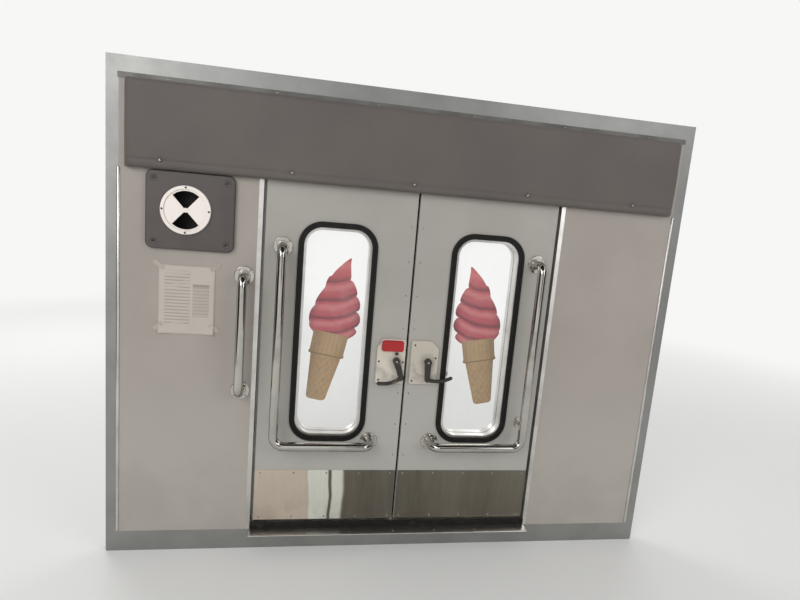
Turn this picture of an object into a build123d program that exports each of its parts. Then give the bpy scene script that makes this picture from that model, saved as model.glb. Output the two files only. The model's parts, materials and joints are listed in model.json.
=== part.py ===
"""Rear wall of a box-bodied ambulance, with its pair of outward-opening doors.

The wall stands in the XZ plane, seen from inside the patient compartment: +X right, +Y out
behind the vehicle, +Z up. The origin is the middle of the sill rail's underside. All sizes
are in millimetres, and heights written with above_floor() start at the compartment's floor.
"""
import os
from math import cos, pi, sin

from build123d import *

# Driving sizes of the wall
BODY_WIDTH = 2440
FLOOR_LEVEL = 90
HEADROOM = 1830
FRAME_DEPTH = 60
RIM_PROUD = 6
LINING_THICKNESS = 6
SKIN_THICKNESS = 3
RIM_WIDTH = 60
RIM_CORNER_RADIUS = 50
RIM_REBATE = 15
RAIL_DEPTH = 80

# Doorway, measured between the edges of the stop that the seal sits on
OPENING_WIDTH = 1270
OPENING_HEIGHT = 1560
STOP_WIDTH = 18
STOP_DEPTH = 30
POST_WIDTH = 40
SILL_STOP_HEIGHT = 28

# Door leaves
LEAF_GAP = 5
MEETING_GAP_OUT = 6
MEETING_GAP_IN = 10
LEAF_INSET = 12
LEAF_SETBACK = 5
LEAF_LINING = 5
RIM_THICKNESS = 22
LEAF_EDGE_RADIUS = 2
BOX_BOTTOM_GAP = 12
KICK_HEIGHT = 234
KICK_THICKNESS = 1.5
KICK_MARGIN = 1

# Windows
WINDOW_WIDTH = 330
WINDOW_HEIGHT = 950
WINDOW_RADIUS = 100
WINDOW_X = 325
WINDOW_MID_HEIGHT = 886
RUBBER_WIDTH = 24
RUBBER_PROUD = 8
WINDOW_LAP = 12
REVEAL_WIDTH = 10
GLASS_THICKNESS = 6
GLASS_BITE = 4
GLASS_DEPTH = 33
WINDOW_FLANGE = 5

# Tubular grab rails
TUBE_RADIUS = 19
TUBE_STANDOFF = 70
TUBE_BEND = 45
TUBE_END_BEND = 36
FLANGE_RADIUS = 39
FLANGE_THICKNESS = 5
COLLAR_RADIUS = 24
COLLAR_HEIGHT = 12
DOOR_RAIL_X = 550
DOOR_RAIL_TOP_HEIGHT = 1248
DOOR_RAIL_LOW_HEIGHT = 414
DOOR_RAIL_END_X = 138
RAIL_PROP_HEIGHT = 515
RAIL_PROP_RADIUS = 8
WALL_BAR_INSET = 44
WALL_BAR_TOP_HEIGHT = 1118
WALL_BAR_LOW_HEIGHT = 634

# Latches: the cover plate and lever inside, the paddle in its dish outside
LATCH_WIDTH = 125
LATCH_HEIGHT = 197
LATCH_THICKNESS = 10
LATCH_DROP = 6
LATCH_CHAMFER = 34
LATCH_EDGE_RADIUS = 3
SPINDLE_HEIGHT = 788
RIGHT_SPINDLE_X = 96
LEFT_SPINDLE_X = -45
RIGHT_LATCH_SHIFT = 13
LEFT_LATCH_SHIFT = 1
SPINDLE_RADIUS = 8
RUNNING_CLEARANCE = 0.1
LEVER_HUB_RADIUS = 16
LEVER_HUB_THICKNESS = 20
LEVER_GAP = 1
LEVER_ARM = 79
LEVER_ARM_RADIUS = 11
LEVER_REACH = 104
LEVER_RISE = 15
LEVER_SAG = 9
LEVER_GRIP_RADIUS = 8
LEVER_LIFT = 14
LEFT_LEVER_DROOP = 21
RED_TAB_WIDTH = 95
RED_TAB_HEIGHT = 48
RED_TAB_THICKNESS = 12
RED_TAB_X = -65
DISH_WIDTH = 130
DISH_HEIGHT = 156
DISH_DEPTH = 24
DISH_X = 82
DISH_RISE = 2
DISH_FLANGE = 12
DISH_WALL = 4
LOCK_MARGIN = 8
PADDLE_THICKNESS = 6
PADDLE_HEIGHT = 70
PADDLE_SIDE_GAP = 5
PADDLE_PIN_RADIUS = 3

# Piano hinges
KNUCKLE_RADIUS = 6
PIN_RADIUS = 3
HINGE_LEAF_WIDTH = 26
HINGE_LEAF_THICKNESS = 2
KNUCKLES = 30
KNUCKLE_GAP = 0.6

# Extract vent with its turning shutter, on the left lining
VENT_INSET = 312
VENT_MID_HEIGHT = 1356
VENT_PLATE_WIDTH = 332
VENT_PLATE_HEIGHT = 300
VENT_PLATE_THICKNESS = 18
VENT_PLATE_RADIUS = 28
DUCT_SHIFT = -16
DUCT_RISE = 5
BEZEL_RADIUS = 94
BEZEL_THICKNESS = 11
SHUTTER_RADIUS = 80
SHUTTER_THICKNESS = 3
SHUTTER_CLEARANCE = 0.8
PORT_RADIUS = 74
PORT_HALF_ANGLE = 42
PORT_HUB = 9
DUCT_RADIUS = 84
DUCT_WALL = 3

# Header pad above the doors
PAD_FOOT_HEIGHT = 1508
PAD_PROUD = 40
PAD_EDGE_RADIUS = 12
PAD_MARGIN = 10

# Rubber seals and the threshold
SEAL_WIDTH = 12
SEAL_INSET = 3
SEAL_CLEARANCE = 2
MEETING_BULB = 6
SILL_STRIP_THICKNESS = 5
SILL_STRIP_HEIGHT = 32
THRESHOLD_REACH = 60
THRESHOLD_THICKNESS = 4

# Fittings on the outside
LAMP_WIDTH = 165
WIDE_LAMP_WIDTH = 215
LAMP_HEIGHT = 115
LAMP_RADIUS = 18
LAMP_PROUD = 22
LAMP_RIM = 9
LAMP_PITCH = 150
LAMP_STACK_INSET = 290
LAMP_STACK_HEIGHT = 340
UPPER_LAMP_INSET = 190
UPPER_LAMP_GAP = 42
UPPER_LAMP_DROP = 95
COWL_SIZE = 220
COWL_RADIUS = 16
COWL_PROUD = 26
COWL_SLATS = 5
SLAT_MARGIN = 25
SLAT_SLOT = 9
GUARD_HEIGHT = 250
GUARD_THICKNESS = 2
GUARD_GAP = 14
CATCH_INSET = 92
CATCH_HEIGHT = 110
CATCH_PROUD = 48
CATCH_RADIUS = 22
CATCH_FOOT_RADIUS = 30
CATCH_THROAT_RADIUS = 8
PLUNGER_PROUD = 38
PLUNGER_FOOT_RADIUS = 24
PLUNGER_RADIUS = 6
FITTING_FOOT_THICKNESS = 6
DRIP_PROUD = 26
DRIP_RISE = 12
DRIP_OVERHANG = 30
DRIP_WALL = 3

# Where the wall is fastened to the rest of the body
SILL_BOLT_INSET = 220
SILL_BOLT_SPACING = 36
SILL_BOLT_RADIUS = 6.5
SILL_BOLT_DEPTH = 40
SIDE_BOLT_SPACING = 1500
SIDE_BOLT_RADIUS = 5.5
SIDE_BOLT_DEPTH = 30
SIDE_BOLT_Y = -25

# Worked out from the driving sizes
WALL_HEIGHT = FLOOR_LEVEL + HEADROOM + RAIL_DEPTH
HALF_BODY = BODY_WIDTH / 2
FRAME_IN = -FRAME_DEPTH / 2
FRAME_OUT = FRAME_DEPTH / 2
WALL_IN = FRAME_IN - LINING_THICKNESS
WALL_OUT = FRAME_OUT + SKIN_THICKNESS
RIM_IN = FRAME_IN - RIM_PROUD
RIM_OUT = FRAME_OUT + RIM_PROUD
STOP_OUT = WALL_IN + STOP_DEPTH
HALF_OPENING = OPENING_WIDTH / 2
POST_FACE = HALF_OPENING + STOP_WIDTH
LEAF_EDGE = POST_FACE - LEAF_GAP
BOX_EDGE = HALF_OPENING - LEAF_INSET
LEAF_IN = WALL_IN + LEAF_SETBACK
LEAF_BACK = LEAF_IN + LEAF_LINING
RIM_BACK = FRAME_OUT - RIM_THICKNESS
HINGE_X = POST_FACE - LEAF_GAP / 2
HINGE_Y = WALL_OUT + KNUCKLE_RADIUS
WALL_BAR_X = -POST_FACE - WALL_BAR_INSET
VENT_X = VENT_INSET - HALF_BODY
DUCT_X = VENT_X + DUCT_SHIFT
CATCH_X = HALF_BODY - CATCH_INSET


def above_floor(height):
    """Height in the wall's own frame of a point that far above the compartment's floor."""
    return FLOOR_LEVEL + height


CEILING = above_floor(HEADROOM)
DOOR_TOP = above_floor(OPENING_HEIGHT)
LINTEL_FACE = DOOR_TOP + STOP_WIDTH
LEAF_TOP = LINTEL_FACE - LEAF_GAP
BOX_TOP = DOOR_TOP - LEAF_INSET
LEAF_FOOT = FLOOR_LEVEL + LEAF_GAP + 1
SILL_STOP_TOP = above_floor(SILL_STOP_HEIGHT)
BOX_FOOT = SILL_STOP_TOP + BOX_BOTTOM_GAP
VENT_Z = above_floor(VENT_MID_HEIGHT)
DUCT_Z = VENT_Z + DUCT_RISE
SPINDLE_Z = above_floor(SPINDLE_HEIGHT)
LATCH_Z = SPINDLE_Z - LATCH_DROP
DISH_Z = SPINDLE_Z + DISH_RISE
SEAL_IN = STOP_OUT
SEAL_OUT = RIM_BACK - SEAL_CLEARANCE


def block(x, y, z):
    """A box between two values along each axis."""
    size = (x[1] - x[0], y[1] - y[0], z[1] - z[0])
    middle = ((x[0] + x[1]) / 2, (y[0] + y[1]) / 2, (z[0] + z[1]) / 2)
    return Pos(*middle) * Box(*size)


def facing_in(x, y, z):
    """A drawing plane parallel to the wall, as seen from inside, that extrudes inwards."""
    return Plane(origin=(x, y, z), x_dir=(1, 0, 0), z_dir=(0, -1, 0))


def slab(x, z, width, height, radius, y):
    """A round-cornered plate parallel to the wall, between two values of y."""
    outline = RectangleRounded(width, height, radius)
    return extrude(facing_in(x, y[1], z) * outline, amount=y[1] - y[0])


def disc(x, z, radius, y):
    """A round plate parallel to the wall, between two values of y."""
    return extrude(facing_in(x, y[1], z) * Circle(radius), amount=y[1] - y[0])


def rounded(part, y, radius):
    """The part with the edges that lie in the plane y rounded off."""
    edges = part.edges().filter_by_position(Axis.Y, y - 0.01, y + 0.01)
    return fillet(edges, radius)


def both_sides(part):
    """A part and its mirror image on the other side of the wall's middle."""
    return [part, mirror(part, about=Plane.YZ)]


def body_rim():
    """The extruded rim of the body as one solid, with its outer corner rounded all the way round."""
    whole = block((-HALF_BODY, HALF_BODY), (RIM_IN, RIM_OUT), (FLOOR_LEVEL, WALL_HEIGHT))
    outer = whole.edges().filter_by_position(Axis.Y, RIM_OUT - 0.01, RIM_OUT + 0.01)
    outer = outer.filter_by(lambda e: e.center().Z > FLOOR_LEVEL + 1)
    whole = fillet(outer, RIM_CORNER_RADIUS)
    inside = block((-HALF_BODY + RIM_WIDTH, HALF_BODY - RIM_WIDTH), (RIM_IN, RIM_OUT),
                   (FLOOR_LEVEL, WALL_HEIGHT - RAIL_DEPTH))
    rebate_x = HALF_BODY - RIM_WIDTH + RIM_REBATE
    rebate_z = (FLOOR_LEVEL, WALL_HEIGHT - RAIL_DEPTH + RIM_REBATE)
    lining_rebate = block((-rebate_x, rebate_x), (RIM_IN, FRAME_IN), rebate_z)
    lining_rebate -= block((-POST_FACE, POST_FACE), (RIM_IN, FRAME_IN), (CEILING, rebate_z[1]))
    skin_rebate = block((-rebate_x, rebate_x), (FRAME_OUT, RIM_OUT), rebate_z)
    return whole - inside - lining_rebate - skin_rebate


def frame_nodes():
    """Sill, roof rail, corner posts and the welded frame of the doorway with its stop."""
    rim = body_rim()
    above = block((-HALF_BODY, HALF_BODY), (RIM_IN, RIM_OUT), (CEILING, WALL_HEIGHT))
    roof_rail = rim & above
    posts = rim - above
    right_post = posts & block((0, HALF_BODY), (RIM_IN, RIM_OUT), (FLOOR_LEVEL, CEILING))
    bolts = [Pos(HALF_BODY - SIDE_BOLT_DEPTH / 2, SIDE_BOLT_Y, WALL_HEIGHT / 2 + k * SIDE_BOLT_SPACING / 2)
             * Rot(0, 90, 0) * Cylinder(SIDE_BOLT_RADIUS, SIDE_BOLT_DEPTH) for k in (-1, 1)]
    right_post = right_post - bolts[0] - bolts[1]

    sill = block((-HALF_BODY, HALF_BODY), (RIM_IN, RIM_OUT), (0, FLOOR_LEVEL))
    ends = sill.edges().filter_by(Axis.Z).filter_by_position(Axis.Y, RIM_OUT - 1, RIM_OUT + 1)
    sill = fillet(ends, RIM_CORNER_RADIUS)
    lower_lip = sill.edges().filter_by(Axis.X).group_by(Axis.Z)[0]
    sill = fillet(lower_lip.filter_by_position(Axis.Y, RIM_OUT - 1, RIM_OUT + 1), RIM_PROUD)
    for i in (-1, 1):
        for j in (-1, 1):
            place = Pos(i * (HALF_BODY - SILL_BOLT_INSET), j * SILL_BOLT_SPACING / 2, SILL_BOLT_DEPTH / 2)
            sill = sill - place * Cylinder(SILL_BOLT_RADIUS, SILL_BOLT_DEPTH)

    post_out = POST_FACE + POST_WIDTH
    doorway = block((-post_out, post_out), (FRAME_IN, FRAME_OUT), (FLOOR_LEVEL, CEILING))
    doorway -= block((-POST_FACE, POST_FACE), (FRAME_IN, FRAME_OUT), (FLOOR_LEVEL, LINTEL_FACE))
    doorway -= block((-POST_FACE, POST_FACE), (FRAME_IN, FRAME_OUT),
                     (LINTEL_FACE + POST_WIDTH, CEILING))
    stop = block((-POST_FACE, POST_FACE), (WALL_IN, STOP_OUT), (FLOOR_LEVEL, LINTEL_FACE))
    stop -= block((-HALF_OPENING, HALF_OPENING), (WALL_IN, STOP_OUT), (FLOOR_LEVEL, DOOR_TOP))

    corner = both_sides(right_post)
    return {"sill_rail": sill, "roof_rail": roof_rail, "door_frame": doorway + stop,
            "corner_post_right": corner[0], "corner_post_left": corner[1]}


def panel_nodes():
    """Outer skin in one sheet, and a lining each side, all let into the rim's rebates."""
    out_x = HALF_BODY - RIM_WIDTH + RIM_REBATE
    top = WALL_HEIGHT - RAIL_DEPTH + RIM_REBATE
    skin_y = (FRAME_OUT, WALL_OUT)
    lining_y = (WALL_IN, FRAME_IN)
    skin = block((-out_x, out_x), skin_y, (FLOOR_LEVEL, top))
    skin -= block((-POST_FACE, POST_FACE), skin_y, (FLOOR_LEVEL, LINTEL_FACE))
    lining = both_sides(block((POST_FACE, out_x), lining_y, (FLOOR_LEVEL, top)))
    duct_hole = disc(DUCT_X, DUCT_Z, DUCT_RADIUS, lining_y)
    return {"outer_skin": skin, "lining_right": lining[0], "lining_left": lining[1] - duct_hole}


def header_pad():
    """The stuffed board across the top of the wall, with its lower edges rolled under."""
    half = HALF_BODY - RIM_WIDTH - PAD_MARGIN
    pad_y = (WALL_IN - PAD_PROUD, WALL_IN)
    pad = block((-half, half), pad_y, (above_floor(PAD_FOOT_HEIGHT), CEILING))
    return rounded(pad, pad_y[0], PAD_EDGE_RADIUS)


def door_seal():
    """The rubber section that runs round the stop as one loop, and the strip on the sill's upstand."""
    low = LEAF_FOOT + SEAL_CLEARANCE
    high = LINTEL_FACE - SEAL_INSET
    outer = (2 * (POST_FACE - SEAL_INSET), high - low)
    middle = (low + high) / 2
    y = (SEAL_IN, SEAL_OUT)
    loop = slab(0, middle, *outer, SEAL_WIDTH + 6, y)
    loop -= slab(0, middle, outer[0] - 2 * SEAL_WIDTH, outer[1] - 2 * SEAL_WIDTH, 6, y)
    loop = rounded(loop, SEAL_OUT, SEAL_WIDTH / 2 - 1)
    strip_y = (WALL_IN - SILL_STRIP_THICKNESS, WALL_IN)
    strip_z = (FLOOR_LEVEL + THRESHOLD_THICKNESS, FLOOR_LEVEL + SILL_STRIP_HEIGHT)
    strip = block((-HALF_OPENING, HALF_OPENING), strip_y, strip_z)
    top = strip.edges().filter_by(Axis.X).group_by(Axis.Z)[-1].group_by(Axis.Y)[0]
    return Compound([loop, fillet(top, SILL_STRIP_THICKNESS - 1)])


def threshold():
    """Bright angle over the floor's edge, whose upstand carries the foot of the seal."""
    plate = block((-HALF_OPENING, HALF_OPENING), (WALL_IN - THRESHOLD_REACH, STOP_OUT),
                  (FLOOR_LEVEL, FLOOR_LEVEL + THRESHOLD_THICKNESS))
    upstand = block((-HALF_OPENING, HALF_OPENING), (WALL_IN, STOP_OUT),
                    (FLOOR_LEVEL, SILL_STOP_TOP))
    nose = plate.edges().filter_by(Axis.X).group_by(Axis.Y)[0].group_by(Axis.Z)[-1]
    return fillet(nose, THRESHOLD_THICKNESS - 1) + upstand


def rail_foot(x, z, y):
    """Round flange and collar of a grab rail, standing inwards from the face at y."""
    flange = rounded(disc(x, z, FLANGE_RADIUS, (y - FLANGE_THICKNESS, y)), y - FLANGE_THICKNESS, 2)
    collar = disc(x, z, COLLAR_RADIUS, (y - COLLAR_HEIGHT, y))
    return flange + rounded(collar, y - COLLAR_HEIGHT, 2)


def bent_tube(points, radii):
    """A round tube along straight runs joined by bends."""
    path = FilletPolyline(*points, radius=radii)
    start = Plane(origin=points[0], z_dir=Vector(*points[1]) - Vector(*points[0]))
    return sweep(start * Circle(TUBE_RADIUS), path=path)


def door_rail():
    """The L-shaped grab rail of the right leaf: down the hinge side, then along under the window."""
    high, low = above_floor(DOOR_RAIL_TOP_HEIGHT), above_floor(DOOR_RAIL_LOW_HEIGHT)
    out = LEAF_IN - TUBE_STANDOFF
    ends = [(DOOR_RAIL_X, LEAF_IN, high), (DOOR_RAIL_END_X, LEAF_IN, low)]
    points = [ends[0], (DOOR_RAIL_X, out, high), (DOOR_RAIL_X, out, low),
              (DOOR_RAIL_END_X, out, low), ends[1]]
    rail = bent_tube(points, [TUBE_END_BEND, TUBE_BEND, TUBE_END_BEND])
    for x, y, z in ends:
        rail += rail_foot(x, z, y)
    prop_z = above_floor(RAIL_PROP_HEIGHT)
    rail += disc(DOOR_RAIL_X, prop_z, RAIL_PROP_RADIUS, (out, LEAF_IN))
    rail += slab(DOOR_RAIL_X, prop_z, 3.4 * RAIL_PROP_RADIUS, 6 * RAIL_PROP_RADIUS,
                 1.6 * RAIL_PROP_RADIUS, (LEAF_IN - FLANGE_THICKNESS, LEAF_IN))
    return rail


def wall_bar():
    """The short upright grab bar beside the doorway."""
    high, low = above_floor(WALL_BAR_TOP_HEIGHT), above_floor(WALL_BAR_LOW_HEIGHT)
    out = WALL_IN - TUBE_STANDOFF
    ends = [(WALL_BAR_X, WALL_IN, high), (WALL_BAR_X, WALL_IN, low)]
    points = [ends[0], (WALL_BAR_X, out, high), (WALL_BAR_X, out, low), ends[1]]
    bar = bent_tube(points, [TUBE_END_BEND, TUBE_END_BEND])
    for x, y, z in ends:
        bar += rail_foot(x, z, y)
    return bar


def vent_ports(x, z, y):
    """The two opposite quarter openings, above and below the vent's middle."""
    reach = 2 * PORT_RADIUS
    angle = PORT_HALF_ANGLE * pi / 180
    side, rise = reach * sin(angle), reach * cos(angle)
    wedge = Polygon((0, 0), (side, rise), (-side, rise), align=None)
    wedge += Polygon((0, 0), (-side, -rise), (side, -rise), align=None)
    outline = wedge & (Circle(PORT_RADIUS) - Circle(PORT_HUB))
    return extrude(facing_in(x, y[1], z) * outline, amount=y[1] - y[0])


def vent_nodes():
    """Square vent plate, its bezel with two ports, the shutter that turns over them, and the duct."""
    x, z = DUCT_X, DUCT_Z
    face = WALL_IN - VENT_PLATE_THICKNESS
    plate = slab(VENT_X, VENT_Z, VENT_PLATE_WIDTH, VENT_PLATE_HEIGHT, VENT_PLATE_RADIUS, (face, WALL_IN))
    plate = rounded(plate, face, 6) - disc(x, z, DUCT_RADIUS, (face, WALL_IN))

    back = (face - SHUTTER_THICKNESS, face)
    front = face - BEZEL_THICKNESS
    bezel = rounded(disc(x, z, BEZEL_RADIUS, (front, face)), front, 4)
    bezel -= disc(x, z, SHUTTER_RADIUS + SHUTTER_CLEARANCE, (front, back[0]))
    bezel -= vent_ports(x, z, back)
    pin_y = (front + 1, back[1])
    bezel += disc(x, z, PIN_RADIUS, pin_y)

    near = back[0] - SHUTTER_CLEARANCE
    blade_y = (near - SHUTTER_THICKNESS, near)
    shutter = disc(x, z, SHUTTER_RADIUS, blade_y) - vent_ports(x, z, blade_y)
    shutter -= disc(x, z, PIN_RADIUS + RUNNING_CLEARANCE, blade_y)

    depth = (face, FRAME_OUT - 10)
    duct = disc(x, z, DUCT_RADIUS - 0.2, depth)
    duct -= disc(x, z, DUCT_RADIUS - DUCT_WALL, (depth[0], depth[1] - DUCT_WALL))
    return {"vent_plate": plate, "vent_bezel": bezel, "vent_shutter": shutter, "vent_duct": duct}


def window_cut(y):
    """The hole that a window unit drops into."""
    width = WINDOW_WIDTH - 2 * WINDOW_LAP
    height = WINDOW_HEIGHT - 2 * WINDOW_LAP
    return slab(WINDOW_X, above_floor(WINDOW_MID_HEIGHT), width, height, WINDOW_RADIUS - WINDOW_LAP, y)


def window_slab(inset, y):
    """A plate of the window's outline, drawn in by the inset all round."""
    return slab(WINDOW_X, above_floor(WINDOW_MID_HEIGHT), WINDOW_WIDTH - 2 * inset,
                WINDOW_HEIGHT - 2 * inset, WINDOW_RADIUS - inset, y)


def window_nodes():
    """Rubber ring inside, metal surround through the leaf, and the pane in its groove."""
    y = (LEAF_IN - RUBBER_PROUD, LEAF_IN)
    rubber = window_slab(0, y) - window_slab(RUBBER_WIDTH, y)
    rubber = rounded(rubber, y[0], 3)
    groove = (y[0], y[0] + 2)
    rubber -= window_slab(RUBBER_WIDTH / 2 - 1, groove) - window_slab(RUBBER_WIDTH / 2 + 1, groove)

    clear = RUBBER_WIDTH + REVEAL_WIDTH
    flange_y = (WALL_OUT, WALL_OUT + WINDOW_FLANGE)
    surround = window_slab(WINDOW_LAP + 1, (LEAF_IN, WALL_OUT))
    surround += rounded(window_slab(0, flange_y), flange_y[1], 2)
    surround -= window_slab(clear, (LEAF_IN, flange_y[1]))
    pane_y = (LEAF_IN + GLASS_DEPTH, LEAF_IN + GLASS_DEPTH + GLASS_THICKNESS)
    surround -= window_slab(clear - GLASS_BITE, (pane_y[0] - 0.2, pane_y[1] + 0.2))
    pane = window_slab(clear - GLASS_BITE + 0.2, pane_y)
    return {"window_rubber": rubber, "window_surround": surround, "window_glass": pane}


def leaf_nodes():
    """Outer pan, lock block, lining and kick plate of the right leaf, cut for window and handle."""
    rim_x = (MEETING_GAP_OUT / 2, LEAF_EDGE)
    box_x = (MEETING_GAP_IN / 2, BOX_EDGE)
    rim = rounded(block(rim_x, (RIM_BACK, WALL_OUT), (LEAF_FOOT, LEAF_TOP)), WALL_OUT, LEAF_EDGE_RADIUS)
    box = block(box_x, (LEAF_BACK, RIM_BACK), (BOX_FOOT, BOX_TOP))
    pocket_y = (WALL_OUT - DISH_DEPTH - DISH_WALL, WALL_OUT)
    pocket = slab(DISH_X, DISH_Z, DISH_WIDTH - 2 * DISH_FLANGE + 2,
                  DISH_HEIGHT - 2 * DISH_FLANGE + 2, 11, pocket_y)
    pan = rim + box - window_cut((LEAF_BACK, WALL_OUT)) - pocket
    lock_half = DISH_HEIGHT / 2 + LOCK_MARGIN
    lock_part = block((0, DISH_X + DISH_WIDTH / 2 + LOCK_MARGIN), (LEAF_BACK, WALL_OUT),
                      (DISH_Z - lock_half, DISH_Z + lock_half))
    lock = pan & lock_part
    pan -= lock_part
    lining = block(box_x, (LEAF_IN, LEAF_BACK), (BOX_FOOT, BOX_TOP))
    lining -= window_cut((LEAF_IN, LEAF_BACK))
    kick = block((box_x[0] + KICK_MARGIN, box_x[1] - KICK_MARGIN), (LEAF_IN - KICK_THICKNESS, LEAF_IN),
                 (BOX_FOOT + KICK_MARGIN, BOX_FOOT + KICK_HEIGHT))
    return {"leaf_pan": pan, "lock_block": lock, "leaf_lining": lining, "kick_plate": kick}


def latch_plate(plate_x, spindle_x, chamfer_side):
    """Cover plate over a latch, one upper corner cut off, with the bore for its spindle."""
    w, h, cut = LATCH_WIDTH / 2, LATCH_HEIGHT / 2, LATCH_CHAMFER
    outline = Polygon((-w, -h), (w, -h), (w, h - cut), (w - cut, h), (-w, h), align=None)
    if chamfer_side < 0:
        outline = mirror(outline, about=Plane.YZ)
    outline = fillet(outline.vertices(), 10)
    plate = extrude(facing_in(plate_x, LEAF_IN, LATCH_Z) * outline, amount=LATCH_THICKNESS)
    face = LEAF_IN - LATCH_THICKNESS
    plate = rounded(plate, face, LATCH_EDGE_RADIUS)
    return plate - disc(spindle_x, SPINDLE_Z, SPINDLE_RADIUS, (face, LEAF_IN))


def lever():
    """Inside lever of the right leaf, hub at the origin: arm down, then a round grip to the right."""
    face = LEAF_IN - LATCH_THICKNESS
    hub_y = (face - LEVER_GAP - LEVER_HUB_THICKNESS, face - LEVER_GAP)
    hub = rounded(disc(0, 0, LEVER_HUB_RADIUS, hub_y), hub_y[0], 4)
    spindle = disc(0, 0, SPINDLE_RADIUS - RUNNING_CLEARANCE, (hub_y[1], LEAF_IN - 2))
    arm_y = (hub_y[0] + 2, hub_y[1] - LEVER_HUB_THICKNESS / 4)
    elbow_z = -LEVER_ARM
    outline = make_hull([Circle(LEVER_HUB_RADIUS - 2).edge(),
                         (Pos(2, elbow_z) * Circle(LEVER_ARM_RADIUS)).edge()])
    arm = extrude(facing_in(0, arm_y[1], 0) * outline, amount=arm_y[1] - arm_y[0])
    arm = rounded(arm, arm_y[0], 3)
    mid_y = (arm_y[0] + arm_y[1]) / 2
    tip = (LEVER_REACH, mid_y - LEVER_LIFT, elbow_z + LEVER_RISE)
    middle = (LEVER_REACH / 2, mid_y - LEVER_LIFT * 0.7, elbow_z + LEVER_RISE / 2 - LEVER_SAG)
    path = ThreePointArc((2, mid_y, elbow_z), middle, tip)
    grip = sweep(Plane(origin=path @ 0, z_dir=path % 0) * Circle(LEVER_GRIP_RADIUS), path=path)
    knob = Pos(*tip) * Sphere(LEVER_GRIP_RADIUS)
    return hub + spindle + arm + grip + knob


def latch_nodes():
    """Cover plates and levers of both leaves, the left lever drooping, and the red tab."""
    right = Pos(RIGHT_SPINDLE_X, 0, SPINDLE_Z) * lever()
    drooped = Rot(0, -LEFT_LEVER_DROOP, 0) * mirror(lever(), about=Plane.YZ)
    left = Pos(LEFT_SPINDLE_X, 0, SPINDLE_Z) * drooped
    face = LEAF_IN - LATCH_THICKNESS
    front = face - RED_TAB_THICKNESS
    tab_z = LATCH_Z + (LATCH_HEIGHT - RED_TAB_HEIGHT) / 2 - LATCH_EDGE_RADIUS
    tab = slab(RED_TAB_X, tab_z, RED_TAB_WIDTH, RED_TAB_HEIGHT, RED_TAB_HEIGHT / 5, (front, face))
    tab = rounded(tab, front, RED_TAB_THICKNESS / 3)
    inner_edge = MEETING_GAP_IN / 2 + LATCH_WIDTH / 2
    return {"latch_plate_right": latch_plate(inner_edge + RIGHT_LATCH_SHIFT, RIGHT_SPINDLE_X, 1),
            "latch_plate_left": latch_plate(-inner_edge - LEFT_LATCH_SHIFT, LEFT_SPINDLE_X, -1),
            "lever_right": right, "lever_left": left, "red_tab": tab}


def handle_nodes():
    """Recessed dish in the right leaf's outer skin, and the paddle that pulls out of it."""
    x, z = DISH_X, DISH_Z
    flange_y = (WALL_OUT, WALL_OUT + 3)
    bottom = WALL_OUT - DISH_DEPTH
    dish = rounded(slab(x, z, DISH_WIDTH, DISH_HEIGHT, 14, flange_y), flange_y[1], 1.5)
    inner_w, inner_h = DISH_WIDTH - 2 * DISH_FLANGE, DISH_HEIGHT - 2 * DISH_FLANGE
    dish += slab(x, z, inner_w, inner_h, 10, (bottom - DISH_WALL + 0.5, WALL_OUT))
    cavity_w, cavity_h = inner_w - 2 * DISH_WALL, inner_h - 2 * DISH_WALL
    dish -= slab(x, z, cavity_w, cavity_h, 8, (bottom, flange_y[1]))

    pivot_y = WALL_OUT - 3
    pivot_z = z + cavity_h / 2 - 8
    pin_hole = Pos(x, pivot_y, pivot_z) * Rot(0, 90, 0) * Cylinder(
        PADDLE_PIN_RADIUS + RUNNING_CLEARANCE, cavity_w + DISH_WALL)
    dish -= pin_hole
    half = cavity_w / 2 - PADDLE_SIDE_GAP
    blade = block((x - half, x + half), (pivot_y - PADDLE_THICKNESS / 2, pivot_y + PADDLE_THICKNESS / 2),
                  (pivot_z - PADDLE_HEIGHT, pivot_z))
    blade = fillet(blade.edges().filter_by(Axis.Y), 6)
    knuckle = Pos(x, pivot_y, pivot_z) * Rot(0, 90, 0) * Cylinder(PADDLE_THICKNESS / 2 + 1.5, 2 * half)
    pin = Pos(x, pivot_y, pivot_z) * Rot(0, 90, 0) * Cylinder(PADDLE_PIN_RADIUS, cavity_w + DISH_WALL - 1)
    lip_z = (pivot_z - PADDLE_HEIGHT, pivot_z - PADDLE_HEIGHT + 7)
    lip = block((x - half + 8, x + half - 8), (pivot_y - PADDLE_THICKNESS, pivot_y), lip_z)
    return {"handle_dish": dish, "paddle": blade + knuckle + pin + lip}


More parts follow.
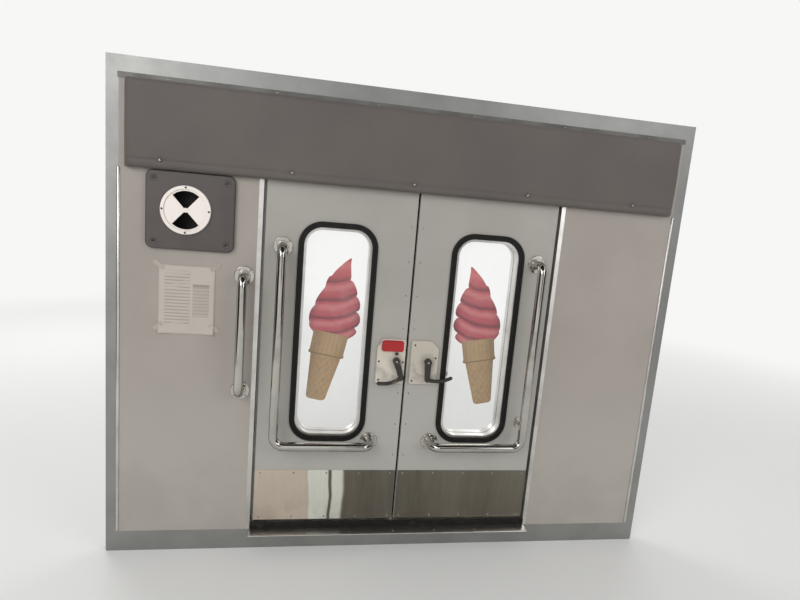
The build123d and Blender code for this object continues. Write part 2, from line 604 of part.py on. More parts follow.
def hinge_nodes():
    """Piano hinge on the right: two plates whose knuckles take turns along one pin."""
    low, high = LEAF_FOOT + 4, LEAF_TOP - 4
    pitch = (high - low) / KNUCKLES
    plate_y = (WALL_OUT, WALL_OUT + HINGE_LEAF_THICKNESS)
    clear = KNUCKLE_RADIUS + 0.7
    plates, bores = [], []
    for side in (-1, 1):
        edge = HINGE_X + side * clear
        far = HINGE_X + side * (clear + HINGE_LEAF_WIDTH)
        plate = block((min(edge, far), max(edge, far)), plate_y, (low, high))
        for k in range(KNUCKLES):
            if (k % 2 == 0) == (side > 0):
                z = (low + k * pitch + KNUCKLE_GAP / 2, low + (k + 1) * pitch - KNUCKLE_GAP / 2)
                knuckle = Pos(HINGE_X, HINGE_Y, (z[0] + z[1]) / 2) * Cylinder(KNUCKLE_RADIUS, z[1] - z[0])
                bridge = block((min(edge, HINGE_X), max(edge, HINGE_X)), plate_y, z)
                plate = plate + knuckle + bridge
        plates.append(plate)
    middle = (low + high) / 2
    bore = Pos(HINGE_X, HINGE_Y, middle) * Cylinder(PIN_RADIUS + RUNNING_CLEARANCE, high - low)
    pin = Pos(HINGE_X, HINGE_Y, middle) * Cylinder(PIN_RADIUS, high - low)
    return {"hinge_leaf": plates[0] - bore, "hinge_frame": plates[1] + pin}


def meeting_seal():
    """Rubber bulb on the right leaf's free edge, where the leaves meet."""
    x = MEETING_GAP_IN / 2
    y = (RIM_BACK - 20, RIM_BACK - 4)
    bulb = block((x - MEETING_BULB, x), y, (BOX_FOOT + 2, BOX_TOP - 2))
    return fillet(bulb.edges().filter_by(Axis.Z).group_by(Axis.X)[0], MEETING_BULB / 2)


def lamp(x, z, width, height):
    """Rounded lens block and the bezel round it, standing out from the skin."""
    base = (WALL_OUT, WALL_OUT + LAMP_PROUD)
    body = rounded(slab(x, z, width, height, LAMP_RADIUS, base), base[1], LAMP_PROUD / 4)
    bezel_y = (WALL_OUT, WALL_OUT + LAMP_PROUD / 2)
    bezel = slab(x, z, width + 2 * LAMP_RIM, height + 2 * LAMP_RIM, LAMP_RADIUS + LAMP_RIM, bezel_y)
    bezel = rounded(bezel, bezel_y[1], LAMP_RIM / 3) - slab(x, z, width, height, LAMP_RADIUS, bezel_y)
    return body, bezel


def lamp_nodes():
    """Warning, stop and turn lamps in red, scene and reversing lamps in clear, and all bezels."""
    stack_x = HALF_BODY - LAMP_STACK_INSET
    stack_z = [above_floor(LAMP_STACK_HEIGHT) + k * LAMP_PITCH for k in range(3)]
    upper_z = CEILING - UPPER_LAMP_DROP
    corner_x = HALF_BODY - UPPER_LAMP_INSET
    beside_x = corner_x - (WIDE_LAMP_WIDTH + LAMP_WIDTH) / 2 - UPPER_LAMP_GAP
    groups = {"red_lenses": [(corner_x, upper_z, WIDE_LAMP_WIDTH), (stack_x, stack_z[1], LAMP_WIDTH),
                             (stack_x, stack_z[2], LAMP_WIDTH)],
              "clear_lenses": [(beside_x, upper_z, LAMP_WIDTH), (stack_x, stack_z[0], LAMP_WIDTH)]}
    nodes, bezels = {}, []
    for name, places in groups.items():
        lenses = []
        for x, z, width in places:
            lens, bezel = lamp(x, z, width, LAMP_HEIGHT)
            lenses += both_sides(lens)
            bezels += both_sides(bezel)
        nodes[name] = Compound(lenses)
    nodes["lamp_bezels"] = Compound(bezels)
    return nodes


def outside_nodes():
    """Vent cowl, lower guards, hold-open catches and the drip rail over the doors."""
    x, z = DUCT_X, DUCT_Z
    cowl_y = (WALL_OUT, WALL_OUT + COWL_PROUD)
    cowl = rounded(slab(x, z, COWL_SIZE, COWL_SIZE, COWL_RADIUS, cowl_y), cowl_y[1], COWL_PROUD / 5)
    pitch = COWL_SIZE / (COWL_SLATS + 1)
    for k in range(COWL_SLATS):
        slot_z = z + (k - (COWL_SLATS - 1) / 2) * pitch
        slot = Box(COWL_SIZE - 2 * SLAT_MARGIN, 2 * COWL_PROUD, SLAT_SLOT)
        slot = Pos(x, cowl_y[1], slot_z) * Rot(40, 0, 0) * slot
        cowl -= slot & slab(x, z, COWL_SIZE, COWL_SIZE, COWL_RADIUS, (WALL_OUT + COWL_PROUD / 4, cowl_y[1]))

    guard_y = (WALL_OUT, WALL_OUT + GUARD_THICKNESS)
    guard_x = (POST_FACE + HINGE_LEAF_WIDTH + GUARD_GAP, HALF_BODY - RIM_WIDTH - GUARD_THICKNESS)
    guard = block(guard_x, guard_y, (FLOOR_LEVEL + GUARD_THICKNESS, above_floor(GUARD_HEIGHT)))

    catch_y = (guard_y[1], guard_y[1] + CATCH_PROUD)
    catch_z = above_floor(CATCH_HEIGHT)
    foot = disc(CATCH_X, catch_z, CATCH_FOOT_RADIUS, (catch_y[0], catch_y[0] + FITTING_FOOT_THICKNESS))
    stem = Cone(CATCH_RADIUS, CATCH_RADIUS * 0.7, CATCH_PROUD)
    stem = Pos(CATCH_X, (catch_y[0] + catch_y[1]) / 2, catch_z) * Rot(-90, 0, 0) * stem
    throat = disc(CATCH_X, catch_z, CATCH_THROAT_RADIUS, (catch_y[1] - CATCH_PROUD / 3, catch_y[1]))
    catch = foot + stem - throat

    plunger_y = (WALL_OUT, WALL_OUT + PLUNGER_PROUD)
    plunger_x = 2 * HINGE_X - CATCH_X
    foot_y = (WALL_OUT, WALL_OUT + FITTING_FOOT_THICKNESS)
    plunger = disc(plunger_x, catch_z, PLUNGER_FOOT_RADIUS, foot_y)
    plunger += rounded(disc(plunger_x, catch_z, PLUNGER_RADIUS, plunger_y), plunger_y[1], PLUNGER_RADIUS / 2)
    return {"vent_cowl": cowl, "corner_guards": Compound(both_sides(guard)),
            "hold_open_catches": Compound(both_sides(catch)), "plunger": plunger}


def drip_rail():
    """Gutter over the doors: a flange on the skin, a sloping floor and an upturned lip."""
    base, lip, wall = WALL_OUT, WALL_OUT + DRIP_PROUD, DRIP_WALL
    z = LINTEL_FACE + DRIP_RISE
    outline = Polygon((base, z + 6 * wall), (base, z - 2 * wall), (base + wall, z - 2 * wall),
                      (base + wall, z - wall), (lip, z + wall), (lip, z + 4 * wall),
                      (lip - wall, z + 4 * wall), (lip - wall, z + 2 * wall), (base + wall, z),
                      (base + wall, z + 6 * wall), align=None)
    reach = POST_FACE + DRIP_OVERHANG
    return extrude(Plane.YZ.offset(-reach) * outline, amount=2 * reach)


def all_nodes():
    """Every node of the wall and its doors, by name."""
    nodes = {**frame_nodes(), **panel_nodes(), **vent_nodes(), **lamp_nodes()}
    nodes.update({"header_pad": header_pad(), "door_seal": door_seal(), "threshold": threshold(),
                  "wall_grab_bar": wall_bar(), "meeting_seal": meeting_seal(),
                  "drip_rail": drip_rail()})
    outside = outside_nodes()
    hinges = hinge_nodes()
    per_leaf = {**leaf_nodes(), **window_nodes(), **handle_nodes(), "door_rail": door_rail(),
                "plunger": outside.pop("plunger"), "hinge_leaf": hinges["hinge_leaf"],
                "hinge_frame": hinges["hinge_frame"]}
    nodes.update(outside)
    for name, part in per_leaf.items():
        right, left = both_sides(part)
        nodes[name + "_right"] = right
        nodes[name + "_left"] = left
    nodes.update(latch_nodes())
    return nodes


os.makedirs("parts", exist_ok=True)
for node_name, shape in all_nodes().items():
    export_step(shape, f"parts/{node_name}.step")
print("nodes", len(os.listdir("parts")))
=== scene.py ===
"""Dresses the rear end wall of an ambulance: finishes for every part, and the pad, trim and small parts.

Everything is in metres in the wall's own frame: +X right as seen from inside the compartment,
+Y out behind the vehicle, +Z up from the sill rail's underside.
"""
import json
import math

import bmesh
import bpy
from mathutils import Matrix, Vector


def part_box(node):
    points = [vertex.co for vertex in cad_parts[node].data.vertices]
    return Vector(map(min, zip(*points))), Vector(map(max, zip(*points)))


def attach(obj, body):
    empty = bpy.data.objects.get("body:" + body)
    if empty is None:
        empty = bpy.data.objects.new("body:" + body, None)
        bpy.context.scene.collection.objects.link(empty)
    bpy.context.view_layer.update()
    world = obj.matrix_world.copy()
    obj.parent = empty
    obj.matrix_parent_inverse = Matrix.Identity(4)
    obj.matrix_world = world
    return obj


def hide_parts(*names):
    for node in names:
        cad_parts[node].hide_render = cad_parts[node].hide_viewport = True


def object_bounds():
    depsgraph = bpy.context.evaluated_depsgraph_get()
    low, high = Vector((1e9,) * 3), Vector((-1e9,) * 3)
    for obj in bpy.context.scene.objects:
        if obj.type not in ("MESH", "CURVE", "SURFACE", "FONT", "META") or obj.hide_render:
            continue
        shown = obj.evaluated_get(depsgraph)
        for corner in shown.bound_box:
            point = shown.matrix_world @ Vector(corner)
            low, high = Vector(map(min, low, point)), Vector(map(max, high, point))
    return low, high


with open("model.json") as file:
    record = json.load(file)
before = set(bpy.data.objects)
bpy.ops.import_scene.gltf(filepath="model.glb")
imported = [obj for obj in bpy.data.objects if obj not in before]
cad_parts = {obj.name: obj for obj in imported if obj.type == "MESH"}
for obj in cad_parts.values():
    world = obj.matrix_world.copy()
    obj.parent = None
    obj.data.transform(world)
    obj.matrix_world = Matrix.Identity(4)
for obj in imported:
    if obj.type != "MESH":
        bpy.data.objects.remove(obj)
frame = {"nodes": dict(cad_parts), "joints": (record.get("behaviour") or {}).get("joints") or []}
NODES = frame["nodes"]
CAD_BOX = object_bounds()

bl_info = {
    "name": "Ambulance rear wall",
    "version": (1, 0, 0),
    "blender": (4, 5, 0),
    "location": "3D View > Sidebar > Rear wall",
    "description": "Finishes and small parts for an ambulance's rear end wall and doors",
    "category": "Object",
}

INWARD = Vector((0, -1, 0))
OUTWARD = Vector((0, 1, 0))
UPWARD = Vector((0, 0, 1))
SIDES = {"left": -1, "right": 1}

# Places read from the wall itself
LINING_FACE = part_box("lining_left")[0].y
SKIN_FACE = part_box("outer_skin")[1].y
LEAF_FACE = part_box("leaf_lining_right")[0].y
FLOOR_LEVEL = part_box("sill_rail")[1].z
LEAF_FOOT = FLOOR_LEVEL + 0.1


def node_middle(name):
    """Middle of a CAD node's box."""
    low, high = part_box(name)
    return (low + high) / 2


def lever_pivot(side):
    """Middle of a lever's spindle, as (x, z)."""
    name = "lever_" + side + "_turn"
    place = [joint["pos_m"] for joint in frame["joints"] if joint["name"] == name][0]
    return place[0], place[2]


# Colours

def srgb(red, green, blue):
    """Linear colour of a colour given as 0 to 255."""
    def linear(value):
        value /= 255
        return value / 12.92 if value <= 0.04045 else ((value + 0.055) / 1.055) ** 2.4
    return (linear(red), linear(green), linear(blue))


def shade(colour, factor):
    """A colour made darker or lighter."""
    return tuple(value * factor for value in colour)


def rgba(colour):
    """A colour with its alpha, as shader sockets take it."""
    return (colour[0], colour[1], colour[2], 1.0)


# Shader writing

class Signal:
    """A shader value that adds its own Math nodes when it is used in an expression."""

    def __init__(self, nodes, socket):
        self.nodes = nodes
        self.socket = socket

    def maths(self, operation, *others):
        """This value and others through one Math node."""
        return self.nodes.maths(operation, self, *others)

    def __add__(self, other):
        return self.maths("ADD", other)

    __radd__ = __add__

    def __sub__(self, other):
        return self.maths("SUBTRACT", other)

    def __rsub__(self, other):
        return self.nodes.maths("SUBTRACT", other, self)

    def __mul__(self, other):
        return self.maths("MULTIPLY", other)

    __rmul__ = __mul__

    def __truediv__(self, other):
        return self.maths("DIVIDE", other)

    def __rtruediv__(self, other):
        return self.nodes.maths("DIVIDE", other, self)

    def __pow__(self, other):
        return self.maths("POWER", other)

    def __abs__(self):
        return self.maths("ABSOLUTE")

    def rise(self, low, high):
        """0 below low, 1 above high, and smooth between; high may be the lower one."""
        return self.nodes.node("ShaderNodeMapRange", {"interpolation_type": "SMOOTHSTEP"},
                               {"Value": self, "From Min": low, "From Max": high})

    def between(self, low, high, edge):
        """1 from low to high and 0 outside, with soft edges."""
        return self.rise(low, low + edge) * self.rise(high, high - edge)

    def zigzag(self, count):
        """1 where count times this value is a whole number, and 0 halfway between."""
        return abs((self * count).maths("FRACT") - 0.5) * 2


class NodeTree:
    """The nodes of a material or of the world, under construction."""

    def __init__(self, tree):
        self.tree = tree
        tree.nodes.clear()

    @staticmethod
    def pick(sockets, key):
        """A socket by its number, its identifier or its name."""
        if isinstance(key, int):
            return sockets[key]
        return [socket for socket in sockets if key in (socket.identifier, socket.name)][0]

    def feed(self, socket, value):
        """Link or set one input socket."""
        if isinstance(value, Signal):
            self.tree.links.new(value.socket, socket)
        else:
            socket.default_value = rgba(value) if socket.type == "RGBA" else value

    def node(self, kind, settings=None, inputs=None, out=0):
        """Any node: its settings first, then the values or links of its inputs; gives one output."""
        made = self.tree.nodes.new(kind)
        for name, value in (settings or {}).items():
            setattr(made, name, value)
        for key, value in (inputs or {}).items():
            self.feed(self.pick(made.inputs, key), value)
        return Signal(self, self.pick(made.outputs, out)) if made.outputs else None

    def maths(self, operation, *values):
        """One Math node."""
        return self.node("ShaderNodeMath", {"operation": operation}, dict(enumerate(values)))


FINISHES = {}


class Finish(NodeTree):
    """One finish under construction: a Principled shader and the nodes that feed it."""

    def __init__(self, name, colour, roughness=0.5, metallic=0.0, **fixed):
        material = bpy.data.materials.new(name)
        material.use_nodes = True
        material.diffuse_color = rgba(colour)
        FINISHES[name] = material
        super().__init__(material.node_tree)
        self.surface = self.node("ShaderNodeBsdfPrincipled")
        self.node("ShaderNodeOutputMaterial", {}, {"Surface": self.surface})
        self.set("Base Color", colour)
        self.set("Roughness", roughness)
        self.set("Metallic", metallic)
        for key, value in fixed.items():
            self.set(key.replace("_", " ").title().replace("Ior", "IOR"), value)
        self.place = self.node("ShaderNodeTexCoord", out="Object")
        self.x, self.y, self.z = (self.node("ShaderNodeSeparateXYZ", {}, {"Vector": self.place}, axis)
                                  for axis in "XYZ")

    def set(self, name, value):
        """Give the shader's input a value or a link."""
        self.feed(self.surface.socket.node.inputs[name], value)

    def paint(self, colour, *coats):
        """Base colour: one colour with others laid over it in turn, each given as (mask, colour)."""
        for mask, coat in coats:
            colour = self.node("ShaderNodeMix", {"data_type": "RGBA"},
                               {"Factor_Float": mask, "A_Color": colour, "B_Color": coat}, "Result_Color")
        self.set("Base Color", colour)

    def stretched(self, x, y, z):
        """The place on the surface, scaled differently along each axis."""
        return self.node("ShaderNodeVectorMath", {"operation": "MULTIPLY"}, {0: self.place, 1: (x, y, z)})

    def noise(self, scale, detail=3.0, roughness=0.5, along=None, distortion=0.0):
        """Cloudy value from 0 to 1."""
        return self.node("ShaderNodeTexNoise", {},
                         {"Vector": along or self.place, "Scale": scale, "Detail": detail,
                          "Roughness": roughness, "Distortion": distortion})

    def cells(self, scale, along=None):
        """Distance to the nearest of many scattered points."""
        return self.node("ShaderNodeTexVoronoi", {}, {"Vector": along or self.place, "Scale": scale},
                         "Distance")

    def relief(self, height, distance, strength=1.0, below=None):
        """Bump of the given height value, on top of another bump."""
        inputs = {"Height": height, "Distance": distance, "Strength": strength}
        if below:
            inputs["Normal"] = below
        bump = self.node("ShaderNodeBump", {}, inputs)
        self.set("Normal", bump)
        return bump


def greatest(masks):
    """The greatest of several masks at each place."""
    result = masks[0]
    for mask in masks[1:]:
        result = result.maths("MAXIMUM", mask)
    return result


def far_from(finish, x, z):
    """Distance on the wall from one point."""
    return ((finish.x - x) ** 2 + (finish.z - z) ** 2) ** 0.5


def scratches(finish, scale, amount):
    """Sparse fine lines that run every way, as a mask."""
    streaks = [finish.noise(scale, 2, 0.6, finish.stretched(across, 1, up), 0.4)
               for across, up in ((1, 40), (34, 3), (14, 26))]
    return greatest([streak.rise(amount, amount + 0.05) for streak in streaks])


# Finishes of the wall's parts

def laminate(name, colour, foot):
    """Warm grey wall laminate: faint mottling, scuffs, and a painted glow of floor light that makes it
    lighter and cooler low down.
    """
    f = Finish(name, colour, 0.42)
    cloud = f.noise(2.2, 4, 0.55)
    fine = f.noise(60, 3, 0.6)
    stain = (f.noise(5, 5, 0.6) * f.z.rise(foot + 0.75, foot)).rise(0.25, 0.62)
    # Painted light: lighter and cooler towards the floor, as reflected floor light
    painted_low_glow = f.z.rise(foot + 1.10, foot + 0.25)
    painted_glow_colour = (colour[0] * 1.13, colour[1] * 1.17, colour[2] * 1.17)
    scuff = scratches(f, 7, 0.70) * f.noise(3.1, 2).rise(0.45, 0.7)
    f.paint(shade(colour, 0.92), (cloud.rise(0.3, 0.75), shade(colour, 1.06)), (painted_low_glow, painted_glow_colour),
            (stain * 0.18, shade(colour, 0.55)), (scuff * 0.3, shade(colour, 0.6)))
    f.set("Roughness", 0.36 + cloud * 0.14 + scuff * 0.15 + fine * 0.04)
    skin_grain = f.relief(f.noise(420, 2, 0.5), 0.00012, 0.7)
    f.relief(cloud, 0.0015, 0.25, skin_grain)


# Painted reflection on the left kick plate, as values of x: the cabin's rosy reflection left of its
# start, a bright band up to its end, and the dull upright line that runs up and splits the bright band
PAINTED_REFLECTION_FROM = -0.388
PAINTED_REFLECTION_TO = -0.240
PAINTED_REFLECTION_SPLIT = -0.293


def mirror_steel(name, colour):
    """Stainless sheet brushed upright: painted reflections in broad dull and bright bands and, on the
    left plate, of the cabin; wiping marks and small dents.
    """
    f = Finish(name, colour, 0.2, 1.0)
    brush = f.noise(90, 4, 0.7, f.stretched(1, 1, 0.05))
    painted_reflection_bands = f.noise(5.5, 3, 0.55, f.stretched(1, 1, 0.12), 0.5)
    smear = f.noise(9, 5, 0.65, distortion=0.6)
    marks = scratches(f, 9, 0.69)
    low = f.z.rise(0.30, 0.12) * smear.rise(0.35, 0.7)
    across = f.x + (f.noise(4.5, 2, 0.5, f.stretched(0.4, 1, 1)) - 0.5) * 0.06
    painted_cabin_reflection = across.rise(PAINTED_REFLECTION_FROM + 0.004, PAINTED_REFLECTION_FROM - 0.004)
    painted_bright_reflection = (across.rise(PAINTED_REFLECTION_FROM - 0.004, PAINTED_REFLECTION_FROM + 0.004)
              * across.rise(PAINTED_REFLECTION_TO + 0.012, PAINTED_REFLECTION_TO - 0.006)
              * abs(across - PAINTED_REFLECTION_SPLIT).rise(0.003, 0.011))
    # Painted reflections: broad dull and bright bands, the cabin's rosy reflection and the bright band on
    # the left plate
    f.paint(shade(colour, 0.72), (painted_reflection_bands.rise(0.32, 0.68), colour), (painted_cabin_reflection * 0.90, srgb(228, 213, 197)),
            (painted_bright_reflection * 0.95, srgb(246, 247, 236)), (brush.rise(0.3, 0.75) * 0.16, shade(colour, 1.9)),
            (low * 0.22, shade(colour, 0.5)))
    f.set("Roughness", 0.12 + brush * 0.06 + smear.rise(0.4, 0.8) * 0.10 + marks * 0.14)
    fine = f.relief(brush, 0.00008, 0.5)
    f.relief(f.noise(5, 3, 0.5, f.stretched(1, 1, 0.4)), 0.004, 0.12, fine)


def tube_steel(name, colour):
    """Handled stainless tube: near-mirror with a soft brushed grain and dull patches."""
    f = Finish(name, colour, 0.16, 1.0)
    grain = f.noise(260, 3, 0.6, f.stretched(1, 1, 0.15))
    held = f.noise(7, 4, 0.6)
    f.paint(colour, (held.rise(0.4, 0.75), shade(colour, 0.72)))
    f.set("Roughness", 0.07 + grain * 0.05 + held.rise(0.4, 0.8) * 0.14)
    f.relief(grain, 0.00004, 0.5)


def bright_aluminium(name, colour, roughness):
    """Mill-bright aluminium section, lined along its length and dulled in places."""
    f = Finish(name, colour, roughness, 1.0)
    line = f.noise(220, 3, 0.6, f.stretched(1, 1, 0.03))
    dull = f.noise(9, 4, 0.6)
    pit = f.cells(180).rise(0.12, 0.04) * dull.rise(0.5, 0.7)
    f.paint(colour, (dull.rise(0.35, 0.75) * 0.6 + pit * 0.4, shade(colour, 0.62)))
    f.set("Roughness", roughness - 0.06 + line * 0.10 + dull * 0.16)
    f.relief(line, 0.00006, 0.5)


def rubber(name, colour, dusty):
    """Black rubber with a pebbled skin and pale dust in patches."""
    f = Finish(name, colour, 0.6, ior=1.3)
    dust = f.noise(34, 5, 0.65).rise(0.45, 0.8) * f.noise(5, 3).rise(0.3, 0.7)
    f.paint(colour, (dust * dusty, srgb(96, 92, 86)))
    f.set("Roughness", 0.46 + dust * 0.3 + f.noise(90, 2) * 0.1)
    f.relief(f.noise(900, 2, 0.6), 0.00015, 0.6)


def vinyl(name, colour):
    """Grained upholstery vinyl, a little shinier in patches."""
    f = Finish(name, colour, 0.5, sheen_weight=0.08, sheen_roughness=0.5)
    jitter = f.node("ShaderNodeTexNoise", {}, {"Vector": f.place, "Scale": 60.0}, "Color")
    grain = f.cells(520, f.node("ShaderNodeVectorMath", {"operation": "ADD"}, {0: f.place, 1: jitter}))
    cloud = f.noise(2.6, 4, 0.55)
    wrinkle = f.noise(16, 4, 0.55, f.stretched(1, 1, 2.4), 0.8)
    f.paint(shade(colour, 0.88), (cloud.rise(0.3, 0.75), shade(colour, 1.1)))
    f.set("Roughness", 0.40 + cloud * 0.16 + grain * 0.12)
    f.relief(grain, 0.0004, 0.55, f.relief(wrinkle, 0.0016, 0.18))


def rim_metal(name, enamelled, bare):
    """Body section: enamel where it faces out, bare drawn aluminium where walls and roof meet it."""
    f = Finish(name, bare, 0.4)
    normal = f.node("ShaderNodeNewGeometry", out="Normal")
    facing = f.node("ShaderNodeSeparateXYZ", {}, {"Vector": normal}, "Y")
    painted = greatest([facing.rise(0.25, 0.6), f.y.rise(0.010, 0.014)])
    edge = f.noise(40, 3, 0.6)
    line = f.noise(150, 3, 0.6, f.stretched(0.03, 1, 0.03))
    dull = f.noise(6, 5, 0.6)
    f.paint(shade(bare, 1.06), (dull.rise(0.3, 0.75), shade(bare, 0.90)), (painted, enamelled))
    f.set("Metallic", (1 - painted) * 0.9)
    f.set("Roughness", 0.40 + line * 0.12 - painted * 0.16 + edge * 0.06)
    f.relief(line, 0.00008, 0.4)


def enamel(name, colour):
    """Sprayed body enamel: orange peel, chalking, and road film that thickens towards the sill."""
    f = Finish(name, colour, 0.3, coat_weight=0.25, coat_roughness=0.12)
    film = f.z.rise(0.85, 0.02) * f.noise(7, 5, 0.6).rise(0.3, 0.75)
    runs = f.noise(30, 3, 0.6, f.stretched(1, 1, 0.05)).rise(0.56, 0.75) * 0.16
    f.paint(colour, (film * 0.5 + runs, srgb(128, 118, 104)))
    f.set("Roughness", 0.24 + film * 0.35 + f.noise(12, 3) * 0.08)
    f.relief(f.noise(170, 2, 0.5), 0.0004, 0.12)


def latch_cream(name, colour):
    """Aged cream cover plates, rubbed dark and scratched in an arc under each lever; the right-hand plate
    has painted shade.
    """
    f = Finish(name, colour, 0.4)
    grain = f.noise(26, 5, 0.65)
    worn, swept = [], []
    for x, z in map(lever_pivot, SIDES):
        reach = far_from(f, x, z)
        worn.append(reach.rise(0.075, 0.014))
        swept.append(reach.rise(0.062, 0.070) * reach.rise(0.108, 0.098) * (f.z - z).rise(0.01, -0.03))
    dirt = (greatest(worn) * (0.25 + grain * 0.9)).rise(0.25, 1.0)
    chips = f.cells(75).rise(0.10, 0.05) * grain.rise(0.5, 0.6)
    marks = scratches(f, 16, 0.68)
    f.paint(colour, (grain.rise(0.35, 0.8) * 0.35, shade(colour, 0.82)),
            (f.z.rise(0.80, 0.95) * 0.35, srgb(190, 184, 156)),
            # Painted shade: the right-hand plate, where x is above 0, darker over all
            (f.x.rise(-0.001, 0.001) * 0.5, shade(colour, 0.62)),
            (dirt * 0.45, srgb(104, 90, 78)),
            (greatest(swept) * grain.rise(0.40, 0.62) * 0.35, srgb(112, 106, 100)),
            ((chips + marks * 0.5) * 0.7, srgb(84, 72, 62)))
    f.set("Roughness", 0.34 + grain * 0.16 + dirt * 0.2)
    f.relief(1 - chips * 0.8 - marks * 0.3, 0.0004, 0.5)


def worn_black(name, colour, bare):
    """Black-coated metal, rubbed through to a warm grey in patches."""
    f = Finish(name, colour, 0.35, 0.2)
    rubbed = f.noise(38, 5, 0.7).rise(0.50, 0.64) * f.noise(9, 2).rise(0.38, 0.58)
    f.paint(colour, (rubbed * 0.8, bare))
    f.set("Metallic", rubbed * 0.6 + 0.1)
    f.set("Roughness", 0.30 + f.noise(24, 4, 0.6) * 0.22)
    f.relief(f.noise(300, 2, 0.6), 0.0002, 0.3)


def moulded(name, colour, roughness, grain=700, aged=None, **fixed):
    """Moulded plastic with a fine leather-like texture, greyed in patches."""
    f = Finish(name, colour, roughness, **fixed)
    cloud = f.noise(8, 4, 0.6)
    f.paint(colour, (cloud.rise(0.4, 0.85) * 0.6, aged or shade(colour, 0.7)))
    f.set("Roughness", roughness - 0.05 + cloud * 0.14)
    f.relief(f.cells(grain), 0.00035, 0.35)


def lens(name, colour, deep):
    """Moulded lamp lens: glossy outside, with rows of small prisms showing through."""
    f = Finish(name, colour, 0.12, coat_weight=0.6, coat_roughness=0.05)
    prism = f.x.zigzag(132).rise(0.2, 0.9) * 0.5 + f.z.zigzag(90).rise(0.2, 0.9) * 0.5
    haze = f.noise(10, 4, 0.6).rise(0.5, 0.85)
    f.paint(colour, (prism * 0.55 + haze * 0.1, deep))
    f.set("Roughness", 0.08 + haze * 0.2)
    f.relief(prism, 0.0005, 0.2)


def pane(name, colour):
    """Clear tempered glass with a faint film of dust."""
    f = Finish(name, colour, 0.03, ior=1.45)
    dust = f.noise(9, 5, 0.65).rise(0.45, 0.85)
    f.set("Alpha", 0.04 + dust * 0.05)
    f.set("Roughness", 0.03 + dust * 0.12)


def sheet_paper(name, colour, ink):
    """Copier paper with the faint rules and one shaded box of a printed form."""
    f = Finish(name, colour, 0.75)
    low, high = notice_box()
    across = (f.x - low.x) / (high.x - low.x)
    up = (f.z - low.z) / (high.z - low.z)
    row = up.zigzag(21).rise(0.42, 0.30)
    ragged = f.noise(9, 1, 0.5, f.stretched(1, 1, 9)).rise(0.30, 0.42)
    rules = row * ragged * across.between(0.10, 0.56, 0.01) * up.between(0.13, 0.93, 0.01)
    aside = across.between(0.60, 0.90, 0.005)
    box = aside * up.between(0.26, 0.74, 0.005)
    head = aside * up.between(0.70, 0.74, 0.005)
    crease = f.noise(14, 4, 0.6)
    f.paint(colour, (crease.rise(0.4, 0.8) * 0.25, shade(colour, 0.82)),
            (rules * 0.42 + box * (0.16 + row * 0.2) + head * 0.35, ink))
    f.relief(crease, 0.0012, 0.3)


# The cone that is printed on each window, about its foot
CONE_FOOT = Vector((0.384, 0.0, 0.676))
CONE_LEAN = math.radians(10)
CONE_LENGTH = 0.305
COLLAR_LENGTH = 0.100
COLLAR_FOOT = CONE_LENGTH - COLLAR_LENGTH
SWIRL_GIRTH = 0.110
SWIRL_REACH = 0.108
SWIRL_LAYERS = 4.2
SWIRL_SLOPE = 0.60
SWIRL_SAG = 0.34


def cone_grid(f):
    """Place on the print along its own leaning axes: across it, and up from its foot."""
    size = sizes().cone_size
    out, up = abs(f.x) - CONE_FOOT.x, f.z - CONE_FOOT.z
    across = (out * math.cos(CONE_LEAN) + up * math.sin(CONE_LEAN)) / size
    along = (up * math.cos(CONE_LEAN) - out * math.sin(CONE_LEAN)) / size
    return across, along


def swirl_turns(share, reach):
    """Which fold of the swirl a place lies in, for its share of the height and its reach across."""
    return share ** 0.86 * SWIRL_LAYERS + reach * SWIRL_SLOPE - reach * reach * SWIRL_SAG


def swirl_film(name, light, dark):
    """Printed soft-ice swirl: rosy folds that wind upwards, shaded under and lit on top."""
    f = Finish(name, light, 0.45)
    across, along = cone_grid(f)
    share = ((along - CONE_LENGTH) / (sizes().cone_height - CONE_LENGTH)).maths("MAXIMUM", 0.0)
    reach = across / SWIRL_REACH
    turn = swirl_turns(share, reach)
    wobble = (f.noise(9, 3, 0.55) - 0.5) * 0.42
    part = (turn + wobble + 4).maths("FRACT")
    streak = f.noise(16, 4, 0.6, f.node("ShaderNodeCombineXYZ", {}, {0: turn * 2.2, 1: reach * 0.35}))
    under = greatest([part.rise(0.30, 0.02), part.rise(0.93, 1.0)])
    lit = part.rise(0.38, 0.66) * part.rise(0.92, 0.74)
    side = abs(reach + share * 0.1).rise(0.62, 1.05)
    f.paint(light, (under * 0.9, dark), (lit * (0.05 + streak * 0.75), srgb(219, 144, 141)),
            (streak.rise(0.48, 0.66) * 0.6, dark), (share.rise(0.55, 0.9) * 0.35, srgb(206, 104, 96)),
            (side * 0.45, shade(dark, 0.6)))


def cone_film(name, light, dark):
    """Printed wafer cone: an upright-ribbed collar over a shaft with a slanting lattice."""
    f = Finish(name, light, 0.5)
    across, along = cone_grid(f)
    collar = along.rise(COLLAR_FOOT - 0.002, COLLAR_FOOT + 0.001)
    slants = [(across * 1.5 + along), (across * 1.5 - along)]
    lattice = greatest([slant.zigzag(26).rise(0.80, 0.96) for slant in slants]) * (1 - collar)
    rib = across.zigzag(52).rise(0.55, 0.95) * collar
    lip = abs(along - COLLAR_FOOT).rise(0.006, 0.001)
    side = abs(across + 0.010).rise(0.022, 0.078)
    crumb = f.noise(38, 4, 0.7).rise(0.42, 0.68)
    f.paint(light, (side * 0.75, dark), (crumb * 0.55, shade(light, 0.66)), (rib * 0.30, dark),
            (lattice * 0.34, shade(dark, 0.62)), (lip * 0.6, shade(dark, 0.5)))


# Mesh making

